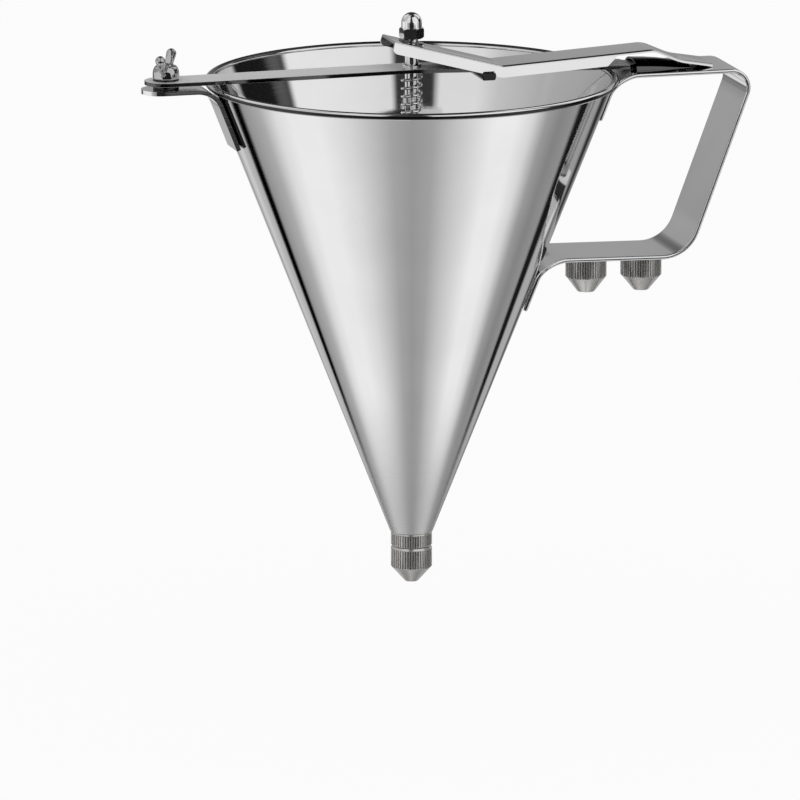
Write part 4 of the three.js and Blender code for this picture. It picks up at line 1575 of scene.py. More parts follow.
@dataclass
class CrossBar:
    """The bar over the rim, the bushing that guides the rod, and the pivot pin under the bar.

    Attributes:
        clamp_reach: Where the clamp's stud stands along X.
        clamp_level: Height of the bar's middle at the clamp.
        rod_level: Height of its middle at the rod.
        handle_level: Height of its middle at the tongue's end.
        lap: Length from the stud to the bar's first bend.
        shoulder: Where the bar narrows to its tongue.
        upright: Faces whose normal rises less than this are the bar's narrow edges, which are painted dark as
            shade.
    """

    shop: Workshop
    clamp_reach: float
    end_length: float = 9.9
    width: float = 18.5
    thickness: float = 1.8
    clamp_level: float = 4.5
    rod_level: float = 5.5
    handle_level: float = 2.1
    lap: float = 14.8
    bend: float = 40.0
    bend_steps: int = 4
    end_steps: int = 32
    shoulder: float = 102.0
    shoulder_steps: int = 8
    tongue_half: float = 5.0
    tongue_reach: float = 118.0
    tongue_corner: float = 1.5
    corner_steps: int = 5
    upright: float = 0.5
    sleeve_radius: float = 3.7
    bore: float = 3.3
    flange_radius: float = 4.6
    flange_thickness: float = 1.0
    flange_ease: float = 0.25
    gap: float = 0.3
    pivot_reach: float = 33.5
    pivot_height: float = 2.0
    pivot_radius: float = 3.2
    pivot_thickness: float = 3.2
    pivot_length: float = 26.0
    pivot_ease: float = 0.35

    def line(self) -> list[Station]:
        """Return the middle of the bar from the clamp to the tongue's end."""
        corners = [
            (self.clamp_reach - self.end_length, self.clamp_level),
            (self.clamp_reach + self.lap, self.clamp_level),
            (0, self.rod_level),
            (self.tongue_reach, self.handle_level),
        ]
        return bent_line(corners, [self.bend, self.bend], self.bend_steps)

    def height_at(self, x: float) -> float:
        """Return the height of the bar's middle at a place along X."""
        line = self.line()
        for before, after in zip(line, line[1:]):
            if after.point.x >= x:
                share = (x - before.point.x) / (after.point.x - before.point.x)
                return before.point.y + share * (after.point.y - before.point.y)
        return line[-1].point.y

    def build_bar(self) -> None:
        """Cut the flat outline, drill it and bend it."""
        half = self.width / 2
        end_x = self.clamp_reach - self.end_length + half
        fillet = half - self.tongue_half
        fillet_x = self.shoulder + fillet
        round_off = self.tongue_corner
        corner_x, corner_y = self.tongue_reach - round_off, self.tongue_half - round_off
        flat = [
            *arc((end_x, 0), half, RIGHT_ANGLE, 3 * RIGHT_ANGLE, self.end_steps),
            (self.shoulder, -half),
            *arc((fillet_x, -half), fillet, math.pi, RIGHT_ANGLE, self.shoulder_steps)[1:],
            *arc((corner_x, -corner_y), round_off, -RIGHT_ANGLE, 0, self.corner_steps),
            *arc((corner_x, corner_y), round_off, 0, RIGHT_ANGLE, self.corner_steps),
            *arc((fillet_x, half), fillet, -RIGHT_ANGLE, -math.pi, self.shoulder_steps)[:-1],
            (self.shoulder, half),
        ]
        bar = linked("Cross_Bar", plate(flat, -self.thickness / 2, self.thickness / 2))
        for x, radius in ((0.0, self.sleeve_radius + self.gap), (self.clamp_reach, self.bore)):
            drill = moved(cylinder(radius, -TOOL_REACH, TOOL_REACH), x)
            cut(bar, linked("drill", drill), Cut.CUT)
        shape = bmesh.new()
        shape.from_mesh(bar.data)
        for station in self.line()[1:-1]:
            bmesh.ops.bisect_plane(
                shape,
                geom=[*shape.verts, *shape.edges, *shape.faces],
                plane_co=(station.point.x, 0, 0),
                plane_no=(1, 0, 0),
            )
        for vert in shape.verts:
            vert.co.z += self.height_at(vert.co.x)
        shape.to_mesh(bar.data)
        shape.free()
        self.shop.deliver(bar, "cross_bar", BRUSHED_BAR, ease=0.22, sharp_degrees=40)
        # The bar's narrow edges are near black: the painted shade along its near edge.
        self.shop.repaint(bar, PAINTED_SHADE, lambda centre, normal: abs(normal.z) < self.upright)

    def build_bushing(self) -> None:
        """Turn the bushing's sleeve and flange."""
        top = self.height_at(0) + self.thickness / 2
        foot = self.height_at(0) - self.thickness / 2
        crown = top + self.flange_thickness
        ease = self.flange_ease
        profile = [
            (self.bore, foot),
            (self.sleeve_radius, foot),
            (self.sleeve_radius, top),
            (self.flange_radius, top),
            (self.flange_radius, crown - ease),
            (self.flange_radius - ease, crown),
            (self.bore + ease, crown),
            (self.bore, crown - ease),
        ]
        bushing = linked("Guide_Bushing", turned(profile, ROUND_STEPS))
        self.shop.deliver(bushing, "guide_bushing", BRIGHT_FASTENER)

    def build_pin(self) -> None:
        """Turn the pivot pin and file it flat where it meets the bar."""
        half, radius, ease = self.pivot_length / 2, self.pivot_radius, self.pivot_ease
        profile = [
            (0, -half),
            (radius - ease, -half),
            (radius, -half + ease),
            (radius, half - ease),
            (radius - ease, half),
            (0, half),
        ]
        pin = linked("Pivot_Pin", turned(profile, BORE_STEPS))
        pin.data.transform(Matrix.Rotation(RIGHT_ANGLE, 4, "X"))
        thick, far = self.pivot_thickness / 2, 2 * radius
        band = sideways(oblong(-far, far, -thick, thick), 2 * self.pivot_length)
        cut(pin, linked("band", band), Cut.KEEP_COMMON)
        pin.data.transform(Matrix.Translation((self.pivot_reach, 0, self.pivot_height)))
        flat = self.height_at(self.pivot_reach + radius) - self.thickness / 2
        above = oblong(self.pivot_reach - far, self.pivot_reach + far, flat, flat + TOOL_REACH)
        block = sideways(above, self.width + 2 * self.gap)
        cut(pin, linked("block", block), Cut.CUT)
        self.shop.deliver(pin, "pivot_pin", DARK_STEEL_AND_PAINTED_SHADE, ease=0.8)

    def build(self) -> None:
        """Make the bar, the bushing and the pin."""
        self.build_bar()
        self.build_bushing()
        self.build_pin()


@dataclass
class Lever:
    """The thumb lever: a channel bent from sheet, with a slot for the rod.

    Attributes:
        pivot: Where the pivot pin stands, in X and Z.
        corners: The middle of the web, in X and Z, from the rod to its far end.
        flange_top: Where the flanges end at the web.
        flange_foot: Where they end at their foot.
        spare: Extra size of web and flanges, which the envelope trims to the true outside.
        below_flanges: How far the envelope reaches below the flanges.
        past_ends: How far it reaches past both ends.
        steep: Faces whose normal leans more than this face sideways or down.
    """

    shop: Workshop
    pivot: tuple[float, float]
    sheet: float = 1.2
    width: float = 23.0
    flange_depth: float = 5.3
    corners: tuple[tuple[float, float], ...] = (
        (-10.95, 19.5),
        (40.2, 5.9),
        (113.0, 10.2),
        (125.5, 4.75),
        (141.0, 2.1),
    )
    bends: tuple[float, ...] = (5.0, 12.0, 25.0)
    flange_top: float = 95.8
    flange_foot: float = 90.3
    heel_corner: float = 2.4
    slot_heel: float = -4.0
    slot_thumb: float = 6.2
    slot_width: float = 7.0
    notch_radius: float = 3.5
    notch_half: float = 2.37
    splay_degrees: float = 9.0
    spare: float = 0.3
    below_flanges: float = 2.0
    past_ends: float = 1.0
    corner_radius: float = 1.5
    bend_steps: int = 12
    corner_steps: int = 8
    heel_steps: int = 6
    slot_steps: int = 16
    steep: float = 0.5

    def flange_outline(self, line: list[Station]) -> list[tuple[float, float]]:
        """Return a flange's outline, from the web's middle down to its rounded foot.

        Args:
            line: The middle of the web.
        """
        reach = self.flange_depth - self.sheet / 2
        upper = [s.beside(0) for s in line if s.point.x < self.flange_top]
        foot = [s.beside(-reach) for s in line if s.beside(-reach).x < self.flange_foot]
        slope = line[-1]
        for before, after in zip(line, line[1:]):
            if before.point.x < self.flange_top <= after.point.x:
                slope = before
        climb = slope.along.y / slope.along.x
        last = slope.beside(0)
        low = slope.beside(-reach)
        upper.append(Vector((self.flange_top, last.y + climb * (self.flange_top - last.x))))
        foot.append(Vector((self.flange_foot, low.y + climb * (self.flange_foot - low.x))))
        heel_top, heel = upper[0], foot[0]
        rise = (heel_top - heel).normalized() * self.heel_corner
        run = (foot[1] - heel).normalized() * self.heel_corner
        centre = heel + rise + run
        rounded = []
        for i in range(self.heel_steps + 1):
            angle = RIGHT_ANGLE * i / self.heel_steps
            rounded.append(centre - run * math.cos(angle) - rise * math.sin(angle))
        points = [*rounded, *foot[1:], *reversed(upper)]
        return [(point.x, point.y) for point in points]

    def splay(self, flange: bpy.types.Object, line: list[Station], side: int) -> None:
        """Stand a flange on its side of the lever, with its foot a little outwards.

        Args:
            flange: The flat flange.
            line: The middle of the web.
            side: -1 for the near side and 1 for the far one.
        """
        spread = math.tan(math.radians(self.splay_degrees))
        for vert in flange.data.vertices:
            nearest = min(line, key=lambda station: abs(station.point.x - vert.co.x))
            climb = nearest.along.y / nearest.along.x
            web = nearest.point.y + climb * (vert.co.x - nearest.point.x)
            vert.co.y += side * ((self.width - self.sheet + self.spare) / 2 + spread * (web - vert.co.z))

    def envelope(self, line: list[Station]) -> bmesh.types.BMesh:
        """Make the solid that the channel's outside is cut to, with its long corners round.

        Args:
            line: The middle of the web.

        Returns:
            The closed solid, which reaches past both ends and below the flanges.
        """
        radius, depth = self.corner_radius, self.flange_depth + self.below_flanges
        splay = math.radians(self.splay_degrees)
        centre = (self.width / 2 - radius, self.sheet / 2 - radius)
        foot = (self.width / 2 + depth * math.tan(splay), -depth)
        side = [foot, *arc(centre, radius, splay, RIGHT_ANGLE, self.corner_steps)]
        section = [*side, *((-y, rise) for y, rise in reversed(side))]
        shape = bmesh.new()
        rings = []
        past_ends = {0: -self.past_ends, len(line) - 1: self.past_ends}
        for i, station in enumerate(line):
            past = past_ends.get(i, 0.0) * station.along
            places = [(station.beside(rise) + past, y) for y, rise in section]
            rings.append(outline(shape, [Vector((place.x, y, place.y)) for place, y in places], closed=True))
        for before, after in zip(rings, rings[1:]):
            bmesh.ops.bridge_loops(shape, edges=[*before, *after])
        bmesh.ops.holes_fill(shape, edges=[*rings[0], *rings[-1]])
        return faces_out(shape)

    def build(self) -> None:
        """Join web and flanges, round the long corners and cut the slot and the pin's notches."""
        line = bent_line(list(self.corners), list(self.bends), self.bend_steps)
        top = [tuple(s.beside(self.sheet / 2)) for s in line]
        bottom = [tuple(s.beside(-self.sheet / 2)) for s in line]
        lever = linked("Thumb_Lever", sideways([*bottom, *reversed(top)], self.width + 2 * self.spare))
        for side in (-1, 1):
            flange = linked("flange", sideways(self.flange_outline(line), self.sheet + self.spare))
            self.splay(flange, line, side)
            cut(lever, flange, Cut.JOIN)
        cut(lever, linked("envelope", self.envelope(line)), Cut.KEEP_COMMON)
        round_half = self.slot_width / 2
        slot_outline = [
            *arc(
                (self.slot_heel + round_half, 0),
                round_half,
                RIGHT_ANGLE,
                3 * RIGHT_ANGLE,
                self.slot_steps,
            ),
            *arc((self.slot_thumb - round_half, 0), round_half, -RIGHT_ANGLE, RIGHT_ANGLE, self.slot_steps),
        ]
        cut(lever, linked("slot", plate(slot_outline, 0, TOOL_REACH)), Cut.CUT)
        notch = linked("notch", cylinder(self.notch_radius, -TOOL_REACH, TOOL_REACH))
        notch.data.transform(Matrix.Rotation(RIGHT_ANGLE, 4, "X"))
        half, far = self.notch_half, 2 * self.notch_radius
        band = sideways(oblong(-far, far, -half, half), 3 * TOOL_REACH)
        cut(notch, linked("band", band), Cut.KEEP_COMMON)
        notch.data.transform(Matrix.Translation((self.pivot[0], 0, self.pivot[1])))
        cut(lever, notch, Cut.CUT)
        self.shop.deliver(lever, "lever", MIRROR_STRIP, ease=0.3, sharp_degrees=40)

        def on_the_inside(centre: Vector, normal: Vector) -> bool:
            """Tell whether a face is a flange's inner face or the web's underside."""
            faces_in = normal.y * centre.y < 0 and abs(normal.y) > self.steep
            between = abs(centre.y) < self.width / 2 - self.sheet - self.spare
            return faces_in or (normal.z < -self.steep and between)

        # The flanges' inner faces and the web's underside are near black: painted shade and a painted dark
        # reflection of the hollow below.
        self.shop.repaint(lever, PAINTED_SHADE, on_the_inside)


@dataclass
class Valve:
    """The rod with its plug, seal, spring, seat washer, clip, cap washer and cap nut.

    Attributes:
        gap: Clearance between pieces that fit over each other.
        spring_turn: Height of the bend from a curl to the upright end of the wire.
        seat_height: Height of the edge that the seal closes on.
        lift: How far the plug is raised in the photographed pose.
        nut_spare: How far the turned blank of the cap nut stands past its corners.
        dome_sink: How far the dome reaches into the hexagon.
    """

    shop: Workshop
    radius: float = 3.0
    gap: float = 0.3
    groove_radius: float = 2.2
    spring_pitch: float = 3.76
    spring_curls: float = 12.0
    spring_radius: float = 4.4
    steps_per_curl: int = 24
    wire_radius: float = 0.6
    wire_rounding: int = 3
    spring_turn: float = 1.4
    turn_steps: int = 6
    washer_radius: float = 6.0
    seat_thickness: float = 1.2
    seat_ease: float = 0.2
    clip_thickness: float = 1.0
    clip_radius: float = 5.0
    clip_ease: float = 0.15
    seat_height: float = -209.0
    lift: float = 4.97
    seal_thickness: float = 1.6
    seal_radius: float = 6.2
    seal_ease: float = 0.5
    rod_ease: float = 0.3
    plug_ease: float = 0.3
    plug_radius: float = 6.5
    plug_height: float = 6.0
    plug_chamfer: float = 2.5
    plug_floor: float = 1.5
    nose_radius: float = 3.0
    nose_length: float = 6.0
    nose_tip: float = 1.0
    washer_thickness: float = 0.5
    washer_ease: float = 0.15
    washer_tilt_degrees: float = 11.9
    nut_flats: float = 10.0
    nut_height: float = 12.0
    nut_hex_height: float = 5.0
    nut_spare: float = 0.05
    dome_radius: float = 4.75
    dome_sink: float = 1.0
    dome_steps: int = 20
    nut_bore_depth: float = 9.0
    nut_turn_degrees: float = -22.2

    @property
    def spring_top(self) -> float:
        """Height of the spring's upper end."""
        return self.shop.level("return_spring", top=True)

    @property
    def nut_foot(self) -> float:
        """Height of the cap nut's lower face."""
        return self.shop.level("cap_nut")

    @property
    def washer_foot(self) -> float:
        """Height of the middle of the tilted washer's lower face."""
        middle = (self.shop.level("cap_washer") + self.shop.level("cap_washer", top=True)) / 2
        return middle - self.washer_thickness / 2 * math.cos(math.radians(self.washer_tilt_degrees))

    @property
    def spring_length(self) -> float:
        """Length of the spring between its ends."""
        return self.spring_curls * self.spring_pitch + 2 * (2 * self.wire_radius + self.spring_turn)

    @property
    def seat_top(self) -> float:
        """Height of the seat washer's upper face."""
        return self.spring_top - self.spring_length - self.gap

    @property
    def seal_foot(self) -> float:
        """Height of the seal's lower face."""
        return self.seat_height + self.gap + self.lift

    @property
    def plug_foot(self) -> float:
        """Height of the plug's lower face."""
        return self.seal_foot + self.seal_thickness

    def build_rod(self) -> None:
        """Turn the rod with its groove."""
        radius, groove, ease = self.radius, self.groove_radius, self.rod_ease
        low = self.plug_foot + self.plug_floor + self.gap
        top = self.nut_foot + self.nut_bore_depth - self.gap
        groove_top = self.seat_top - self.seat_thickness + self.gap / 2
        groove_low = groove_top - self.clip_thickness - self.gap
        profile = [
            (0, low),
            (radius - ease, low),
            (radius, low + ease),
            (radius, groove_low),
            (groove, groove_low),
            (groove, groove_top),
            (radius, groove_top),
            (radius, top - ease),
            (radius - ease, top),
            (0, top),
        ]
        self.shop.deliver(linked("Valve_Rod", turned(profile, ROUND_STEPS)), "valve_rod", POLISHED_ROD)

    def build_plug(self) -> None:
        """Turn the plug and its seal."""
        low, top = self.plug_foot, self.plug_foot + self.plug_height
        bore = self.radius + self.gap
        nose_foot = self.seal_foot - self.nose_length
        profile = [
            (0, nose_foot),
            (self.nose_tip, nose_foot),
            (self.nose_radius, self.seal_foot),
            (self.nose_radius, low),
            (self.plug_radius - self.plug_ease, low),
            (self.plug_radius, low + self.plug_ease),
            (self.plug_radius, top - self.plug_chamfer),
            (self.plug_radius - self.plug_chamfer, top),
            (bore, top),
            (bore, low + self.plug_floor),
            (0, low + self.plug_floor),
        ]
        self.shop.deliver(linked("Valve_Plug", turned(profile, ROUND_STEPS)), "valve_plug", TURNED_STEEL)
        seal = ring(self.nose_radius + self.gap, self.seal_radius, self.seal_foot, low, self.seal_ease)
        self.shop.deliver(linked("Plug_Seal", seal), "plug_seal", SILICONE)

    def spring_path(self) -> list[Vector]:
        """Return the points of the wire, which ends upright and square to what it meets."""
        radius, wire = self.spring_radius, 2 * self.wire_radius
        climb = math.atan(self.spring_pitch / (FULL_TURN * radius))
        bend = self.spring_turn / (1 - math.sin(climb))
        turn = RIGHT_ANGLE - climb
        foot = self.spring_top - self.spring_length
        unrolled = [(0.0, foot)]
        for i in range(self.turn_steps + 1):
            slope = RIGHT_ANGLE - turn * i / self.turn_steps
            unrolled.append((bend * (1 - math.sin(slope)), foot + wire + bend * math.cos(slope)))
        run, height = unrolled[-1]
        curls = (self.spring_length - 2 * (height - foot)) / self.spring_pitch
        count = round(curls * self.steps_per_curl)
        coil = []
        for i in range(1, count):
            share = i / count
            along = FULL_TURN * radius * curls * share
            coil.append((run + along, height + self.spring_pitch * curls * share))
        end = 2 * run + FULL_TURN * radius * curls
        upper = [(end - s, foot + self.spring_top - z) for s, z in reversed(unrolled)]
        path = []
        for s, z in [*unrolled, *coil, *upper]:
            path.append(Vector((radius * math.cos(s / radius), radius * math.sin(s / radius), z)))
        return path

    def build_spring(self) -> None:
        """Draw the spring as one wire that runs between the bar and the seat washer."""
        path = self.spring_path()
        curve = bpy.data.curves.new("Return_Spring", "CURVE")
        curve.dimensions = "3D"
        curve.bevel_depth = self.wire_radius
        curve.bevel_resolution = self.wire_rounding
        curve.use_fill_caps = True
        wire = curve.splines.new("POLY")
        wire.points.add(len(path) - 1)
        for point, place in zip(wire.points, path):
            point.co = (*place, 1.0)
        drawn = bpy.data.objects.new("spring_line", curve)
        bpy.context.scene.collection.objects.link(drawn)
        graph = bpy.context.evaluated_depsgraph_get()
        mesh = bpy.data.meshes.new_from_object(drawn.evaluated_get(graph))
        bpy.data.objects.remove(drawn)
        spring = bpy.data.objects.new("Return_Spring", mesh)
        bpy.context.scene.collection.objects.link(spring)
        self.shop.deliver(spring, "return_spring", SPRING_WIRE, sharp_degrees=60, rides=False)
        upper = self.shop.place() @ Vector((0, 0, self.spring_top))
        lower = self.shop.place() @ Vector((0, 0, self.spring_top - self.spring_length))
        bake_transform(spring)

    def build_seat(self) -> None:
        """Turn the seat washer and the open retaining clip."""
        foot = self.seat_top - self.seat_thickness
        seat = ring(self.radius + self.gap, self.washer_radius, foot, self.seat_top, self.seat_ease)
        self.shop.deliver(linked("Spring_Foot_Washer", seat), "spring_seat_washer", BRIGHT_FASTENER)
        inner = self.groove_radius + self.gap
        clip_foot = foot - self.clip_thickness
        clip = linked("Retaining_Clip", ring(inner, self.clip_radius, clip_foot, foot, self.clip_ease))
        opening = oblong(0, 2 * self.clip_radius, -inner, inner)
        mouth = plate(opening, foot - TOOL_REACH, foot + TOOL_REACH)
        cut(clip, linked("mouth", mouth), Cut.CUT)
        self.shop.deliver(clip, "retaining_clip", BRIGHT_FASTENER)

    def build_cap(self) -> None:
        """Turn the tilted cap washer and make the domed nut."""
        bore = self.radius + 2 * self.gap
        flat = ring(bore, self.washer_radius, 0, self.washer_thickness, self.washer_ease)
        washer = linked("Cap_Washer", flat)
        tilt = Matrix.Rotation(math.radians(self.washer_tilt_degrees), 4, "Y")
        washer.data.transform(Matrix.Translation((0, 0, self.washer_foot)) @ tilt)
        # The cap washer is near black: painted shade and painted dark reflection.
        self.shop.deliver(washer, "cap_washer", PAINTED_SHADE)

        flats = self.nut_flats / 2
        corner = flats / math.cos(math.pi / HEXAGON)
        ease, top = corner - flats, self.nut_hex_height
        hexagon = arc((0, 0), corner, 0, FULL_TURN, HEXAGON)[:-1]
        nut = linked("Cap_Nut", plate(hexagon, 0, top))
        wide = corner + self.nut_spare
        eased = [(0, 0), (flats, 0), (wide, ease), (wide, top - ease), (flats, top), (0, top)]
        cut(nut, linked("eased", turned(eased, DOME_STEPS)), Cut.KEEP_COMMON)
        centre = (0, self.nut_height - self.dome_radius)
        sunk = top - self.dome_sink
        dome = [
            (0, sunk),
            (self.dome_radius, sunk),
            *arc(centre, self.dome_radius, 0, RIGHT_ANGLE, self.dome_steps)[:-1],
            (0, self.nut_height),
        ]
        cut(nut, linked("dome", turned(dome, DOME_STEPS)), Cut.JOIN)
        hole = cylinder(self.radius + self.gap, -TOOL_REACH, self.nut_bore_depth)
        cut(nut, linked("hole", hole), Cut.CUT)
        turn = Matrix.Rotation(math.radians(self.nut_turn_degrees), 4, "Z")
        nut.data.transform(Matrix.Translation((0, 0, self.nut_foot)) @ turn)
        self.shop.deliver(nut, "cap_nut", BRIGHT_FASTENER, ease=0.15, sharp_degrees=25)

    def build(self) -> None:
        """Make everything that slides with the rod."""
        self.build_rod()
        self.build_plug()
        self.build_spring()
        self.build_seat()
        self.build_cap()


@dataclass(frozen=True)
class TentBand:
    """One level of the light tent: where it starts, and how bright it is round the object."""

    name: str
    foot_degrees: float
    blur_degrees: float
    stops: tuple[tuple[float, float], ...]

    def ramp(self, tree: bpy.types.NodeTree) -> bpy.types.Node:
        """Make the band's ramp, whose stops are degrees to the right of the camera and brightness.

        Args:
            tree: The world's nodes.

        Returns:
            The ramp's node.
        """
        made = add_node(tree, "ValToRGB", name=self.name)
        elements = made.color_ramp.elements
        for i, (degrees, light) in enumerate(self.stops):
            place = 0.5 + degrees / 360
            element = elements[i] if i < 2 else elements.new(place)
            element.position = place
            element.color = (light, light, light, 1.0)
        return made


TENT = (
    TentBand(
        "under the cone",
        -90.0,
        0.0,
        (
            (-180, 0.62), (-160, 0.55), (-150, 0.58), (-142, 0.5), (-139, 0.0), (-133, 0.0), (-130, 0.34),
            (-114, 0.50), (-102, 0.87), (-90, 1.02), (-70, 1.02), (-48, 0.85), (-32, 0.65), (-16, 0.45),
            (0, 0.38), (16, 0.44), (32, 0.65), (47, 0.82), (62, 1.02), (78, 1.02), (90, 0.83), (101, 0.40),
            (113, 0.28), (126, 0.34), (129, 0.01), (136, 0.01), (139, 0.46), (180, 0.46),
        ),
    ),
    TentBand(
        "skirt",
        -43.0,
        2.0,
        (
            (-180, 0.62), (-160, 0.55), (-150, 0.58), (-142, 0.5), (-139, 0.0), (-133, 0.0), (-130, 0.34),
            (-114, 0.50), (-102, 0.87), (-90, 1.02), (-70, 1.02), (-64, 0.02), (64, 0.02), (70, 1.02),
            (78, 1.02), (90, 0.83), (101, 0.40), (113, 0.28), (126, 0.34), (129, 0.01), (136, 0.01),
            (139, 0.46), (180, 0.46),
        ),
    ),
    TentBand(
        "below the rim",
        -21.0,
        1.5,
        (
            (-180, 0.3), (-172, 0.9), (-168, 0.27), (-160, 0.55), (-150, 0.9), (-147, 0.02), (-128, 0.02),
            (-124, 0.8), (-100, 1.0), (-60, 1.0), (-45, 0.5), (-24, 0.3), (-19, 0.02), (45, 0.02), (50, 1.0),
            (62, 1.0), (72, 0.5), (92, 0.35), (96, 0.02), (120, 0.02), (126, 0.3), (132, 0.02), (160, 0.03),
            (168, 0.3), (180, 0.3),
        ),
    ),
    TentBand(
        "level",
        -9.0,
        1.5,
        (
            (-180, 0.3), (-150, 0.3), (-147, 0.25), (-128, 0.25), (-124, 0.8), (-100, 1.0), (-60, 1.0),
            (-45, 0.5), (-24, 0.3), (-19, 0.02), (24, 0.02), (28, 0.95), (62, 1.0), (72, 0.5), (92, 0.35),
            (96, 0.02), (120, 0.02), (126, 0.5), (144, 0.4), (160, 0.3), (180, 0.3),
        ),
    ),
    TentBand(
        "shoulder",
        2.0,
        1.0,
        (
            (-180, 0.36), (-150, 0.38), (-90, 0.5), (-60, 0.8), (-19, 0.8), (-15, 0.04), (14, 0.04),
            (18, 0.95), (82, 0.95), (86, 0.01), (126, 0.01), (130, 0.6), (150, 0.45), (180, 0.36),
        ),
    ),
    TentBand(
        "bright ring",
        20.0,
        1.5,
        (
            (-180, 0.03), (-150, 0.03), (-146, 0.7), (-120, 0.8), (-90, 0.5), (-60, 0.65), (-45, 0.85),
            (-19, 0.85), (-14, 0.04), (10, 0.04), (14, 0.85), (60, 0.95), (82, 0.95), (86, 0.05), (100, 0.3),
            (120, 0.9), (146, 0.9), (150, 0.03), (180, 0.03),
        ),
    ),
    TentBand(
        "roof",
        64.0,
        3.0,
        ((-180, 0.05), (-110, 0.05), (-90, 0.9), (-60, 0.9), (-40, 0.03), (180, 0.03)),
    ),
)


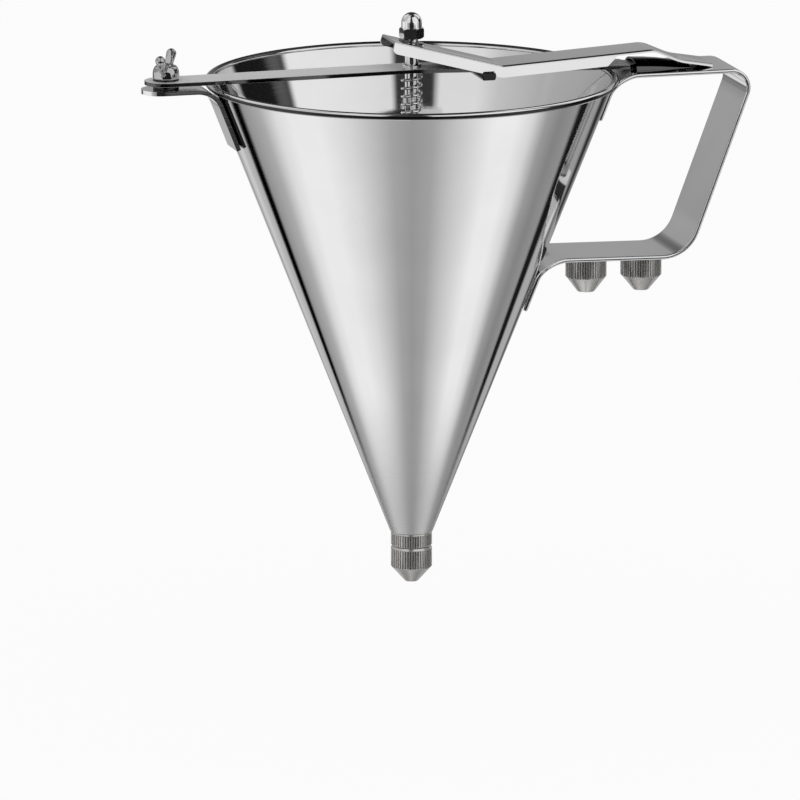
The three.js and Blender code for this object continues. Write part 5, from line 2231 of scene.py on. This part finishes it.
@dataclass
class Studio:
    """Camera, floor, soft light and the light tent that the bright metal mirrors.

    Attributes:
        distance: From the target to the camera, in metres.
        focal_px: Focal length in pixels of a picture that is picture_px wide.
        target_mm: The point in the middle of the picture, in millimetres at the rim.
        floor_drop: How far the floor lies below the object, in metres.
        floor_glow: How much of what the camera sees of the floor is plain white.
        room_light: Brightness of the even light from all sides.
        lamp_back: Direction in which the lamp's back points.
    """

    shop: Workshop
    azimuth_degrees: float = -15.2
    elevation_degrees: float = 12.5
    distance: float = 3.9
    farthest: float = 100.0
    focal_px: float = 8435.0
    picture_px: float = 800.0
    target_mm: tuple[float, float, float] = (-5.11, 1.39, -150.35)
    floor_drop: float = 0.045
    floor_size: float = 40.0
    floor_shade: float = 0.9
    floor_glow: float = 0.9
    tent_light: float = 1.0
    room_light: float = 0.95
    lamp_size: float = 1.6
    lamp_power: float = 2.0
    lamp_place: tuple[float, float, float] = (-0.5, -0.4, 2.0)
    lamp_back: tuple[float, float, float] = (0.35, 0.4, 2.1)

    def build_camera(self) -> None:
        """Stand the camera where the photograph's was."""
        azimuth, elevation = math.radians(self.azimuth_degrees), math.radians(self.elevation_degrees)
        back = Vector(
            (
                math.sin(azimuth) * math.cos(elevation),
                -math.cos(azimuth) * math.cos(elevation),
                math.sin(elevation),
            )
        )
        camera = bpy.data.cameras.new("camera")
        camera.lens = self.focal_px * camera.sensor_width / self.picture_px
        camera.clip_end = self.farthest
        stand = bpy.data.objects.new("camera", camera)
        target = self.shop.place() @ Vector(self.target_mm)
        look = (-back).to_track_quat("-Z", "Y").to_matrix().to_4x4()
        stand.matrix_world = Matrix.Translation(target + back * self.distance) @ look
        bpy.context.scene.collection.objects.link(stand)
        bpy.context.scene.camera = stand

    def build_floor(self) -> None:
        """Lay a plain white floor that keeps a faint shadow, and which the tent hides from the metal."""
        shape = bmesh.new()
        bmesh.ops.create_grid(shape, x_segments=1, y_segments=1, size=self.floor_size / 2)
        floor = linked("floor", shape)
        floor.data.transform(Matrix.Translation((0, 0, CAD_BOX[0].z - self.floor_drop)))
        floor.visible_glossy = False
        paint = bpy.data.materials.new("pale_floor")
        paint.use_nodes = True
        tree = paint.node_tree
        join = tree.links.new
        shader = tree.nodes["Principled BSDF"]
        shader.inputs["Base Color"].default_value = (*[self.floor_shade] * 3, 1.0)
        shader.inputs["Roughness"].default_value = 1.0
        shader.inputs["Specular IOR Level"].default_value = 0.0
        rays = add_node(tree, "LightPath")
        seen = add_node(tree, "Math", {1: self.floor_glow}, operation="MULTIPLY")
        join(rays.outputs["Is Camera Ray"], seen.inputs[0])
        white = add_node(tree, "Emission")
        mixed = add_node(tree, "MixShader")
        join(seen.outputs["Value"], mixed.inputs["Fac"])
        join(shader.outputs["BSDF"], mixed.inputs[1])
        join(white.outputs["Emission"], mixed.inputs[2])
        join(mixed.outputs["Shader"], tree.nodes["Material Output"].inputs["Surface"])
        floor.data.materials.append(paint)

    def hang_tent(self, tree: bpy.types.NodeTree) -> bpy.types.NodeSocket:
        """Stack the bands of the light tent, whose dark gaps give the metal its streaks.

        Args:
            tree: The world's nodes.

        Returns:
            The output that gives the tent's light in each direction.
        """
        join = tree.links.new
        place = add_node(tree, "TexCoord").outputs["Generated"]
        facing = RIGHT_ANGLE - math.radians(self.azimuth_degrees)
        turn = add_node(tree, "Mapping", {"Rotation": (0, 0, facing)})
        join(place, turn.inputs["Vector"])
        round_about = add_node(tree, "TexGradient", gradient_type="RADIAL")
        join(turn.outputs["Vector"], round_about.inputs["Vector"])
        split = add_node(tree, "SeparateXYZ")
        join(place, split.inputs["Vector"])

        tent = None
        for band in TENT:
            ramp = band.ramp(tree)
            join(round_about.outputs["Fac"], ramp.inputs["Fac"])
            if tent is None:
                tent = ramp.outputs["Color"]
                continue
            low = math.sin(math.radians(band.foot_degrees - band.blur_degrees))
            high = math.sin(math.radians(band.foot_degrees + band.blur_degrees))
            rise = add_node(tree, "MapRange", {"From Min": low, "From Max": high})
            join(split.outputs["Z"], rise.inputs["Value"])
            stacked = add_node(tree, "Mix", data_type="RGBA")
            join(rise.outputs["Result"], stacked.inputs["Factor"])
            join(tent, stacked.inputs["A"])
            join(ramp.outputs["Color"], stacked.inputs["B"])
            tent = stacked.outputs["Result"]
        return tent

    def build_world(self) -> None:
        """Light the room evenly, and show the tent to the metal and white to the camera."""
        world = bpy.data.worlds.new("studio")
        bpy.context.scene.world = world
        world.use_nodes = True
        tree = world.node_tree
        tree.nodes.clear()
        join = tree.links.new
        mirrored = add_node(tree, "Background", {"Strength": self.tent_light})
        join(self.hang_tent(tree), mirrored.inputs["Color"])
        room = add_node(tree, "Background", {"Strength": self.room_light})
        backdrop = add_node(tree, "Background", {"Color": (1.0, 1.0, 1.0, 1.0)})
        rays = add_node(tree, "LightPath")
        for_metal = add_node(tree, "MixShader")
        join(rays.outputs["Is Glossy Ray"], for_metal.inputs["Fac"])
        join(room.outputs["Background"], for_metal.inputs[1])
        join(mirrored.outputs["Background"], for_metal.inputs[2])
        for_camera = add_node(tree, "MixShader")
        join(rays.outputs["Is Camera Ray"], for_camera.inputs["Fac"])
        join(for_metal.outputs["Shader"], for_camera.inputs[1])
        join(backdrop.outputs["Background"], for_camera.inputs[2])
        output = add_node(tree, "OutputWorld")
        join(for_camera.outputs["Shader"], output.inputs["Surface"])

    def build_lamp(self) -> None:
        """Hang one large soft lamp over the object."""
        lamp = bpy.data.lights.new("softbox", "AREA")
        lamp.shape = "SQUARE"
        lamp.size = self.lamp_size
        lamp.energy = self.lamp_power
        hung = bpy.data.objects.new("softbox", lamp)
        hung.location = self.lamp_place
        hung.rotation_euler = Vector(self.lamp_back).to_track_quat("Z", "Y").to_euler()
        hung.visible_glossy = False
        bpy.context.scene.collection.objects.link(hung)

    def build(self) -> None:
        """Set up the whole studio."""
        scene = bpy.context.scene
        scene.view_settings.view_transform = "Standard"
        self.build_camera()
        self.build_floor()
        self.build_world()
        self.build_lamp()


def main() -> None:
    """Build every sub-assembly in order."""
    logging.basicConfig(level=logging.INFO, format="%(name)s: %(message)s")
    low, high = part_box("funnel_cone")
    shop = Workshop((low[0] + high[0]) / 2, high[2] - Funnel.bead_radius * MM)
    funnel = Funnel(shop)
    funnel.build()
    Outlet(shop).build()
    nozzle = Nozzle(shop)
    nozzle.build()
    Gasket(shop, nozzle).build()
    handle = Handle(shop, funnel)
    handle.build()
    for side, reach, orifice in zip(("inner", "outer"), handle.stud_reaches, SPARE_ORIFICES):
        node = f"nozzle_spare_{side}"
        lip = shop.level(node, top=True)
        Nozzle(shop, node=node, name=node.title(), reach=reach, lip=lip, orifice=orifice).build()
    Keeper(shop).build()
    clamp = Clamp(shop, funnel)
    clamp.build()
    bar = CrossBar(shop, clamp.reach)
    bar.build()
    Lever(shop, (bar.pivot_reach, bar.pivot_height)).build()
    Valve(shop).build()
    Studio(shop).build()
    LOG.info("%d pieces made", len(shop.made))


if __name__ == "__main__":
    main()
